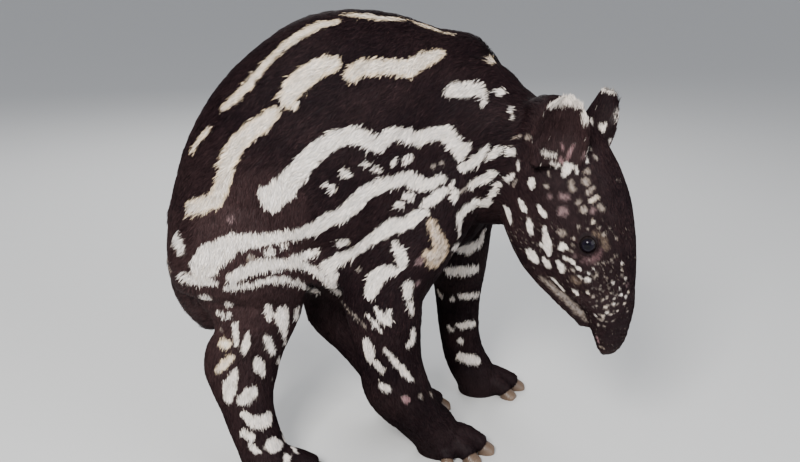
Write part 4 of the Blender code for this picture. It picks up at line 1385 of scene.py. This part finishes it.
# darker round the eye, and painted shade in the nostrils and between the lips
shade = 0.45 + 0.12 * ripple(points, "skinShade") - 0.40 * smoothStep(eyeRatio, 1.65, 1.15)
shade -= 0.4 * smoothStep(nostrilRatio, 1.1, 0.6) + 0.35 * smoothStep(mouthGap, 0.0016, 0.0008)
shade = np.clip(shade, 0.0, 1.0)
for name, values in (("pale", pale), ("warm", warm), ("pink", pink), ("brown", brown), ("shade", shade),
                     ("bare", bare)):
    addAttribute(skin.data, name, values)
skin.data.materials.clear()
skin.data.materials.append(skinMaterial)
report("skin painted")


# an unwrap of the skin's own shape, shared by the coat

unwrapSettings = {"wide": 1.05, "margin": 0.006, "border": 0.01, "patch": 0.003}


def unwrapSkin(data, points, regions):
    # every part of the body is laid flat from six sides, and the flat shapes are packed in rows
    faceNormals = readArray(data.polygons, "normal", 3, np.float32)
    starts = readArray(data.polygons, "loop_start", 1, np.int32)
    totals = readArray(data.polygons, "loop_total", 1, np.int32)
    corners = readArray(data.loops, "vertex_index", 1, np.int32)
    names = sorted(set(regions))
    regionIndex = np.searchsorted(names, regions)
    axis = np.abs(faceNormals).argmax(axis=1)
    sign = faceNormals[np.arange(len(axis)), axis] > 0
    chart = (regionIndex[corners[starts]] * 6 + axis * 2 + sign).astype(np.int64)
    loopChart = np.repeat(chart, totals)
    flat = np.empty((len(corners), 2))
    for k, (a, b) in enumerate(((1, 2), (0, 2), (0, 1))):
        chosen = (loopChart % 6) // 2 == k
        flat[chosen] = points[corners[chosen]][:, (a, b)]
    boxes = []
    for value in np.unique(loopChart):
        chosen = loopChart == value
        low, high = flat[chosen].min(axis=0), flat[chosen].max(axis=0)
        boxes.append((value, low, high - low))
    boxes.sort(key=lambda box: -box[2][1])
    wide, margin, border = unwrapSettings["wide"], unwrapSettings["margin"], unwrapSettings["border"]
    x = y = rowHigh = 0.0
    shifts = {}
    for value, low, size in boxes:
        if x + size[0] > wide:
            x, y, rowHigh = 0.0, y + rowHigh + margin, 0.0
        shifts[value] = np.array((x, y)) - low
        x += size[0] + margin
        rowHigh = max(rowHigh, size[1])
    scale = (1.0 - 2 * border) / max(wide, y + rowHigh)
    for value, shift in shifts.items():
        chosen = loopChart == value
        flat[chosen] = (flat[chosen] + shift) * scale + border
    return flat


loopFlat = unwrapSkin(skin.data, points, regions)
layer = skin.data.uv_layers.new(name="OFBake")
layer.data.foreach_set("uv", loopFlat.astype(np.float32).ravel())
report("skin unwrapped")


# the coat

# spacing, length, width and lift of a tuft, in metres, and its shape
coatSettings = {
    "torso": {"spacing": 0.00178, "length": 0.0092, "width": 0.00100, "lift": 0.0016, "shape": "blade"},
    "neck": {"spacing": 0.00170, "length": 0.0080, "width": 0.00095, "lift": 0.0014, "shape": "blade"},
    "thigh": {"spacing": 0.00178, "length": 0.0074, "width": 0.00092, "lift": 0.0012, "shape": "blade"},
    "shin": {"spacing": 0.00165, "length": 0.0056, "width": 0.00090, "lift": 0.0010, "shape": "spike"},
    "foot": {"spacing": 0.00145, "length": 0.0036, "width": 0.00070, "lift": 0.0006, "shape": "spike"},
    "head": {"spacing": 0.00122, "length": 0.0038, "width": 0.00064, "lift": 0.0007, "shape": "spike"},
    "muzzle": {"spacing": 0.00110, "length": 0.0022, "width": 0.00048, "lift": 0.0004, "shape": "spike"},
    "ear": {"spacing": 0.00108, "length": 0.0046, "width": 0.00058, "lift": 0.0008, "shape": "spike"},
    "tail": {"spacing": 0.00165, "length": 0.0062, "width": 0.00090, "lift": 0.0010, "shape": "spike"},
}
coatLimit = 30000      # tufts in one piece


def coatClasses(points, regions):
    classes = np.full(len(points), "torso", dtype="<U8")
    classes[regions == "neck"] = "neck"
    head = headPlaces(points)
    onHead = np.isin(regions, headNodes) & (regions != "proboscis")
    classes[onHead] = "head"
    classes[(regions == "proboscis") | (onHead & (head[:, 0] > 0.055))] = "muzzle"
    classes[regions == "tail"] = "tail"
    classes[np.char.startswith(regions, "ear")] = "ear"
    leg = np.char.startswith(regions, "leg")
    classes[leg] = "thigh"
    classes[leg & (points[:, 2] < 0.17)] = "shin"
    classes[(leg | np.char.startswith(regions, "nail")) & (points[:, 2] < 0.045)] = "foot"
    return classes


def coatFlow(points, normals, regions, edges):
    # the way the hair lies: back over the trunk, down the legs, up the face, out along the ears
    fore = np.array(trunkSettings["fore"])
    flow = np.tile(-fore - 0.85 * np.array(upward), (len(points), 1))
    flow[regions == "neck"] = (-0.80, 0.45, -0.35)
    flow[np.isin(regions, headNodes)] = -np.array(headDown) - 0.45 * np.array(headBrow)
    for side, name in ((1, "ear_right"), (-1, "ear_left")):
        flow[regions == name] = np.array(earFrame(side)[1])
    flow[regions == "tail"] = (0, 0, -1)
    for limb in limbSettings:
        chosen = np.nonzero(np.isin(regions, (limb,)))[0]
        if not len(chosen):
            continue
        path = np.array([place[0] for place in limbPaths[limb]])
        ways = np.array([place[3] for place in limbPaths[limb]])
        nearest = np.linalg.norm(points[chosen][:, None, :] - path[None], axis=2).argmin(axis=1)
        flow[chosen] = ways[nearest] - 0.15 * fore
    flow[np.char.startswith(regions, "nail")] = (0.3, 0, -1)
    flow = relaxed(flow, edges, 30, 0.5)
    flow -= (flow * normals).sum(axis=1)[:, None] * normals
    return flow / np.maximum(np.linalg.norm(flow, axis=1), 1e-9)[:, None]


flow = coatFlow(points, normals, regions, edges)
classes = coatClasses(points, regions)
bareEdges = {"eye": 1.20, "nostril": 1.35, "mouth": 0.0016, "floor": 0.0022}
noCoat = (eyeRatio < bareEdges["eye"]) | (nostrilRatio < bareEdges["nostril"]) | onFloor | onNail
noCoat |= (mouthGap < bareEdges["mouth"]) | (points[:, 2] < bareEdges["floor"])
report("lie of the coat set")

skin.data.calc_loop_triangles()
triangles = readArray(skin.data.loop_triangles, "vertices", 3, np.int32)
triangleLoops = readArray(skin.data.loop_triangles, "loops", 3, np.int32)
sideOne = points[triangles[:, 1]] - points[triangles[:, 0]]
sideTwo = points[triangles[:, 2]] - points[triangles[:, 0]]
areas = 0.5 * np.linalg.norm(np.cross(sideOne, sideTwo), axis=1)


def scatterRoots(name):
    # evenly spread roots on the faces of one class: triangle and place in it
    spacing = coatSettings[name]["spacing"] * 1.0
    chosen = np.nonzero((classes[triangles[:, 0]] == name) & ~noCoat[triangles].any(axis=1))[0]
    if not len(chosen):
        return None
    weight = areas[chosen] / areas[chosen].sum()
    count = int(areas[chosen].sum() / spacing ** 2 * 3.2)
    drawn = chosen[chance.choice(len(chosen), count, p=weight)]
    a, b = chance.random(count), chance.random(count)
    flip = a + b > 1
    a[flip], b[flip] = 1 - a[flip], 1 - b[flip]
    shares = np.stack([1 - a - b, a, b], axis=1)
    places = (points[triangles[drawn]] * shares[:, :, None]).sum(axis=1)
    cells = np.floor(places / spacing).astype(np.int64) + 4096
    key = (cells[:, 0] * 8192 + cells[:, 1]) * 8192 + cells[:, 2]
    keep = np.unique(key, return_index=True)[1]
    return drawn[keep], shares[keep]


def unit(vectors):
    return vectors / np.maximum(np.linalg.norm(vectors, axis=1), 1e-12)[:, None]


# a tuft is a closed leaf of hair: a blade has root, two sides, ridge and tip, a spike has two roots,
# ridge and tip. Each corner has a place on the tuft's patch and a shade: painted shade darkens the
# root, where it lies under other hair, and the tip is lighter.
tuftShapes = {
    "blade": {
        "faces": ((0, 1, 3), (0, 3, 2), (0, 2, 1), (4, 3, 1), (4, 2, 3), (4, 1, 2)),
        "patch": ((-1, 0), (0, -1), (0, 1), (0, 0), (1, 0)),
        "shades": (-0.25, -0.02, -0.02, 0.04, 0.16),
    },
    "spike": {
        "faces": ((0, 2, 1), (0, 3, 2), (1, 2, 3), (0, 1, 3)),
        "patch": ((-1, -1), (-1, 1), (0, 0), (1, 0)),
        "shades": (-0.22, -0.22, -0.05, 0.14),
    },
}
tuftSettings = {"swing": 0.14, "bend": 0.07, "rootDeep": 0.0005, "leastLift": 0.0002, "boxGap": 0.0002}


def blend(values, corner, shares):
    # the value at each root, between the corners of its triangle
    return (values[corner] * shares[:, :, None]).sum(axis=1)


def tuftForms(name, place, out, lie):
    # the corners of each tuft, the way each corner faces, and the length of the tuft
    settings = coatSettings[name]
    count = len(place)
    across = np.cross(out, lie)
    swing = 0.20 * ripple(place, "hairSwing") + chance.normal(0, tuftSettings["swing"], count)
    lie, across = (lie * np.cos(swing)[:, None] + across * np.sin(swing)[:, None],
                   across * np.cos(swing)[:, None] - lie * np.sin(swing)[:, None])
    length = settings["length"] * (0.75 + 0.5 * chance.random(count))
    if name == "ear":
        inside, rim = earParts(place, out)
        length = length * (1.0 + 0.5 * inside) * (1.0 - 0.35 * rim)
    width = settings["width"] * (0.75 + 0.5 * chance.random(count))
    lift = settings["lift"] * (0.45 + 0.9 * chance.random(count) + 0.25 * ripple(place, "hairLift"))
    lift = np.maximum(lift, tuftSettings["leastLift"])
    bend = chance.normal(0, tuftSettings["bend"], count) * length
    base = place - out * tuftSettings["rootDeep"]
    middle = place + lie * (0.48 * length)[:, None] + out * (0.85 * lift)[:, None] + across * bend[:, None]
    tip = place + lie * length[:, None] + out * lift[:, None] + across * (2.2 * bend)[:, None]
    half = width[:, None] * 0.5
    if settings["shape"] == "blade":
        rows = (base, middle - across * half, middle + across * half, middle + out * half * 0.8, tip)
        turns = (out, out - across * 0.7, out + across * 0.7, out, out + lie * 0.35)
    else:
        rows = (base - across * half, base + across * half, place + out * (0.8 * lift)[:, None], tip)
        turns = (out - across * 0.7, out + across * 0.7, out, out + lie * 0.35)
    turns = unit(np.stack(turns, axis=1).reshape(-1, 3))
    low = np.array(cadBox[0]) + tuftSettings["boxGap"]
    high = np.array(cadBox[1]) - tuftSettings["boxGap"]
    low[2] = skinSettings["floor"]
    return np.clip(np.stack(rows, axis=1), low, high), turns, lie, length


def tuftColours(name, place, out, centre, brownHere):
    # a tuft takes its colour from the markings under it, with some chance
    count = len(place)
    pale, warm, pink = paint(centre, marks)
    mixed = pale + chance.normal(0, 0.06, count) * (pale > 0.05)
    warm = np.clip(warm + chance.normal(0, 0.12, count) * (pale > 0.05), 0, 1)
    if name in ("head", "muzzle"):
        at = headPlaces(place)
        often = smoothStep(at[:, 0], -0.045, 0.010) * smoothStep(at[:, 1], 0.045, 0.015)
        fleck = chance.random(count) < often * (0.04 + 0.04 * ripple(place, "fleckPatch"))
        mixed = np.maximum(mixed, fleck * (0.05 + 0.22 * chance.random(count)))
        warm = np.where(fleck & (pale < 0.05), 0.5, warm)
    if name == "ear":
        inside, rim = earParts(centre, out)
        ragged = rim + chance.normal(0, 0.16, count)
        mixed = np.maximum(mixed, (ragged > 0.45) * 0.97)
        warm = np.where(ragged > 0.45, 0.22, warm)
    rough = 0.24 if name in ("head", "muzzle", "ear") else 0.14
    brownHere = np.clip(brownHere + chance.normal(0, rough, count), 0, 1)
    if name == "ear":
        brownHere = np.maximum(brownHere, inside * (0.12 + 0.66 * chance.random(count)))
    streaks = 0.10 * ripple(place, "wideStreak") + 0.12 * ripple(place, "fineStreak")
    shade = np.clip(0.46 + chance.normal(0, 0.10 + rough * 0.8, count) + streaks, 0, 1)
    return {"pale": np.clip(mixed, 0, 1), "warm": warm, "pink": pink, "brown": brownHere, "shade": shade}


def makeTufts(name, roots, shares, pieceName):
    shape = tuftShapes[coatSettings[name]["shape"]]
    corner = triangles[roots]
    place = blend(points, corner, shares)
    out = unit(blend(normals, corner, shares))
    lie = blend(flow, corner, shares)
    lie = unit(lie - (lie * out).sum(axis=1)[:, None] * out)
    rows, turns, lie, length = tuftForms(name, place, out, lie)
    count, size = rows.shape[:2]
    nearest, farthest = (0.40, 0.70) if name == "ear" else (0.10, 0.75)
    centre = place + lie * ((nearest + (farthest - nearest) * chance.random(count)) * length)[:, None]
    colours = tuftColours(name, place, out, centre, (brown[corner] * shares).sum(axis=1))

    data = bpy.data.meshes.new(pieceName)
    data.vertices.add(count * size)
    data.vertices.foreach_set("co", rows.astype(np.float32).ravel())
    corners = (np.arange(count)[:, None] * size + np.array(shape["faces"]).ravel()[None]).ravel()
    data.loops.add(len(corners))
    data.loops.foreach_set("vertex_index", corners.astype(np.int32))
    data.polygons.add(count * len(shape["faces"]))
    data.polygons.foreach_set("loop_start", np.arange(0, len(corners), 3, dtype=np.int32))
    data.update(calc_edges=True)
    data.shade_smooth()

    flatPlace = blend(loopFlat, triangleLoops[roots], shares)
    flatRows = flatPlace[:, None, :] + np.array(shape["patch"])[None] * unwrapSettings["patch"] * 0.5
    flatRows = np.clip(flatRows.reshape(-1, 2)[corners], 0.0, 1.0)
    layer = data.uv_layers.new(name="OFBake")
    layer.data.foreach_set("uv", flatRows.astype(np.float32).ravel())
    for attribute, values in colours.items():
        values = np.repeat(values, size)
        # painted shade: each tuft is darker at its root and lighter at its tip
        if attribute == "shade":
            values = np.clip(values + np.tile(np.array(shape["shades"]), count), 0, 1)
        addAttribute(data, attribute, values)
    data.normals_split_custom_set_from_vertices(turns.tolist())
    data.materials.append(coatMaterial)
    piece = newObject(pieceName, data)
    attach(piece, "root")


total = 0
for name in coatSettings:
    found = scatterRoots(name)
    if found is None:
        continue
    roots, shares = found
    total += len(roots)
    order = np.argsort(points[triangles[roots, 0]] @ np.array((1.0, 0.15, 0.3)))
    roots, shares = roots[order], shares[order]
    pieces = max(1, math.ceil(len(roots) / coatLimit))
    parts = zip(np.array_split(roots, pieces), np.array_split(shares, pieces))
    for index, (rootPart, sharePart) in enumerate(parts):
        makeTufts(name, rootPart, sharePart, f"coat_{name}_{index + 1}")
    report(f"coat of the {name}: {len(roots)} tufts")
print("tufts in all:", total)

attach(skin, "root")
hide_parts(*fleshNodes)


# eyes

eyeSettings = {
    "rings": 48,
    "sides": 64,
    "cornea": 0.0007,
    "corneaAngle": 38.0,
    "pupil": (0.002, 0.002, 0.003, 1),
    # the blue tint of the iris rings is a painted reflection
    "iris": ((0.22, (0.002, 0.002, 0.007, 1)), (0.27, (0.006, 0.004, 0.012, 1)),
             (0.36, (0.009, 0.006, 0.012, 1)), (0.44, (0.003, 0.003, 0.005, 1)),
             (0.50, (0.012, 0.008, 0.008, 1))),
    "outer": (0.030, 0.018, 0.016, 1),
    "streaks": (0.004, 0.003, 0.003, 1.0),
}


def makeEyeMaterial():
    # dark iris, brown at its rim and tinted blue within as a painted reflection, round a wide pupil,
    # under a wet surface
    material, nodes, shader = newMaterial("wetEye")
    angle = attributeSocket(material, "ring", 200)
    ramp = nodeAt(nodes, "ShaderNodeValToRGB", -600, 200)
    elements = ramp.color_ramp.elements
    elements[0].color = eyeSettings["pupil"]
    elements[1].color = eyeSettings["outer"]
    for position, colour in eyeSettings["iris"]:
        elements.new(position).color = colour
    nodes.links.new(angle, ramp.inputs["Fac"])
    streaks = attributeSocket(material, "streak", -100)
    mixed = mixNode(nodes, -200, 100, ramp.outputs["Color"], eyeSettings["streaks"], streaks)
    nodes.links.new(mixed, shader.inputs["Base Color"])
    shader.inputs["Roughness"].default_value = 0.03
    shader.inputs["IOR"].default_value = 1.36
    shader.inputs["Specular IOR Level"].default_value = 0.24
    return material


eyeMaterial = makeEyeMaterial()


def makeEye(side, word):
    middle, out = eyeFrame(side)
    along = (headDown - headDown.dot(out) * out).normalized()
    over = out.cross(along)
    radius = headSettings["eyeRadius"] - 0.0001
    rings, sides = eyeSettings["rings"], eyeSettings["sides"]
    corneaAngle = math.radians(eyeSettings["corneaAngle"])
    mesh = bmesh.new()
    rows, angles, streaks = [], [], []
    for ring in range(rings + 1):
        polar = math.pi * ring / rings
        bulge = 0.0
        if polar < corneaAngle:
            bulge = eyeSettings["cornea"] * max(math.cos(polar * math.pi / 2 / corneaAngle), 0.0) ** 0.8
        row = []
        for step in range(sides):
            turn = 2 * math.pi * step / sides
            way = out * math.cos(polar) + (along * math.cos(turn) + over * math.sin(turn)) * math.sin(polar)
            row.append(mesh.verts.new(middle + way * (radius + bulge)))
            angles.append(polar / math.pi * 2)
            streaks.append(0.35 + 0.35 * math.sin(turn * 23 + 3 * math.sin(turn * 5)))
        rows.append(row)
    for row, after in zip(rows, rows[1:]):
        for step in range(sides):
            beside = (step + 1) % sides
            mesh.faces.new((row[step], row[beside], after[beside], after[step]))
    data = bpy.data.meshes.new("eyeball_" + word)
    mesh.to_mesh(data)
    mesh.free()
    addAttribute(data, "ring", angles)
    addAttribute(data, "streak", streaks)
    mesh = bmesh.new()
    mesh.from_mesh(data)
    bmesh.ops.remove_doubles(mesh, verts=mesh.verts, dist=1e-6)
    bmesh.ops.recalc_face_normals(mesh, faces=mesh.faces)
    mesh.to_mesh(data)
    mesh.free()
    data.shade_smooth()
    data.materials.append(eyeMaterial)
    eye = newObject("eyeball_" + word, data)
    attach(eye, "root")
    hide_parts("eye_" + word)


for side, word in ((1, "right"), (-1, "left")):
    makeEye(side, word)
report("eyes made")


# nails

hornColours = {
    "root": (0.060, 0.036, 0.023, 1.0),
    "edge": (0.155, 0.098, 0.060, 1.0),
    "stain": (0.045, 0.028, 0.02, 1.0),
}


def makeNailMaterial():
    # brown horn, paler at its edge, with growth rings across it
    material, nodes, shader = newMaterial("horn")
    place = nodeAt(nodes, "ShaderNodeTexCoord", -1100, 0)
    noise = nodeAt(nodes, "ShaderNodeTexNoise", -850, 150)
    noise.inputs["Scale"].default_value = 160.0
    noise.inputs["Detail"].default_value = 4.0
    nodes.links.new(place.outputs["Object"], noise.inputs["Vector"])
    reach = attributeSocket(material, "reach", -200)
    colour = mixNode(nodes, -400, 100, hornColours["root"], hornColours["edge"], reach)
    stain = mathNode(nodes, -400, -150, "MULTIPLY", noise.outputs["Fac"], 0.55)
    colour = mixNode(nodes, -200, 100, colour, hornColours["stain"], stain)
    nodes.links.new(colour, shader.inputs["Base Color"])
    shader.inputs["Roughness"].default_value = 0.42
    rings = mathNode(nodes, -650, -350, "SINE", mathNode(nodes, -800, -350, "MULTIPLY", reach, 46.0))
    height = mathNode(nodes, -450, -350, "MULTIPLY_ADD", noise.outputs["Fac"], 1.2, rings)
    addBump(nodes, shader, -350, height, 0.3, 0.0003)
    return material


nailMaterial = makeNailMaterial()
# each section's place along the nail and its share of the full width
nailRows = ((0.0, 0.82), (0.12, 0.89), (0.30, 0.97), (0.45, 1.0), (0.60, 0.99), (0.74, 0.94), (0.85, 0.86),
            (0.94, 0.73), (1.0, 0.58))


def makeNail(name, middle, ahead, reach, size):
    # a small hoof round the tip of a toe, flat on the floor
    across = upward.cross(ahead)
    length = nailSettings["length"] * size
    root = middle + ahead * (reach - 0.66 * length)
    rings, shares = [], []
    for part, fill in nailRows:
        rise = nailSettings["height"] * size * (1.0 - 0.62 * part) * (0.6 + 0.4 * fill) - 0.0003
        wide = nailSettings["width"] * size * 0.5 * fill - 0.0002
        centre = root + ahead * (length * part)
        ring = []
        for step in range(19):
            turn = math.pi * step / 18
            ring.append(centre + across * wide * math.cos(turn) + upward * (0.0002 + rise * math.sin(turn)))
        rings.append(ring)
        shares += [part] * len(ring)
    mesh = bmesh.new()
    addShell(mesh, rings)
    data = closedMesh(mesh, name)
    addAttribute(data, "reach", shares)
    data.shade_smooth()
    data.set_sharp_from_angle(angle=math.radians(55))
    data.materials.append(nailMaterial)
    nail = newObject(name, data)
    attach(nail, "root")
    return nail


for limb in limbSettings:
    for index, place in enumerate(toePlaces(limb)):
        node = limb.replace("leg", "nail") + "_" + str(index + 1)
        nail = makeNail(node.replace("nail", "hoof"), *place)
        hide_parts(node)
report("nails made")


# floor, light and camera

stageSettings = {
    "floor": (0.62, 0.62, 0.61, 1.0),
    "sky": (0.90, 0.93, 1.0, 1.0),
    "skyStrength": 0.55,
    "aim": (0, 0, 0.22),
    # name, place, power, size, colour
    "lights": (
        ("keyLight", (-0.45, -1.45, 1.25), 50.0, 0.55, (1.0, 0.985, 0.96)),
        ("fillLight", (1.4, -1.1, 0.8), 18.0, 1.2, (0.94, 0.96, 1.0)),
        ("backLight", (-0.4, 1.5, 1.6), 26.0, 1.2, (1.0, 1.0, 1.0)),
    ),
}


def makeStage():
    mesh = bmesh.new()
    bmesh.ops.create_grid(mesh, x_segments=1, y_segments=1, size=40.0)
    data = bpy.data.meshes.new("floor")
    mesh.to_mesh(data)
    mesh.free()
    floor = newObject("floor", data)
    material, nodes, shader = newMaterial("paleFloor")
    shader.inputs["Base Color"].default_value = stageSettings["floor"]
    shader.inputs["Roughness"].default_value = 0.8
    data.materials.append(material)
    world = bpy.data.worlds.new("sky")
    world.use_nodes = True
    sky = world.node_tree.nodes["Background"]
    sky.inputs["Color"].default_value = stageSettings["sky"]
    sky.inputs["Strength"].default_value = stageSettings["skyStrength"]
    bpy.context.scene.world = world
    for name, place, power, size, colour in stageSettings["lights"]:
        lamp = bpy.data.lights.new(name, "AREA")
        lamp.energy = power
        lamp.size = size
        lamp.color = colour
        light = newObject(name, lamp)
        light.location = place
        way = Vector(stageSettings["aim"]) - Vector(place)
        light.rotation_euler = way.to_track_quat("-Z", "Y").to_euler()


def makeCamera():
    data = bpy.data.cameras.new("camera")
    data.sensor_width = 36.0
    data.lens = viewSettings["focal"] / viewSettings["wide"] * 36.0
    camera = newObject("camera", data)
    camera.location = eyePoint
    camera.rotation_euler = (math.radians(viewSettings["pitch"]), 0, 0)
    bpy.context.scene.camera = camera


makeStage()
makeCamera()
report("stage set")
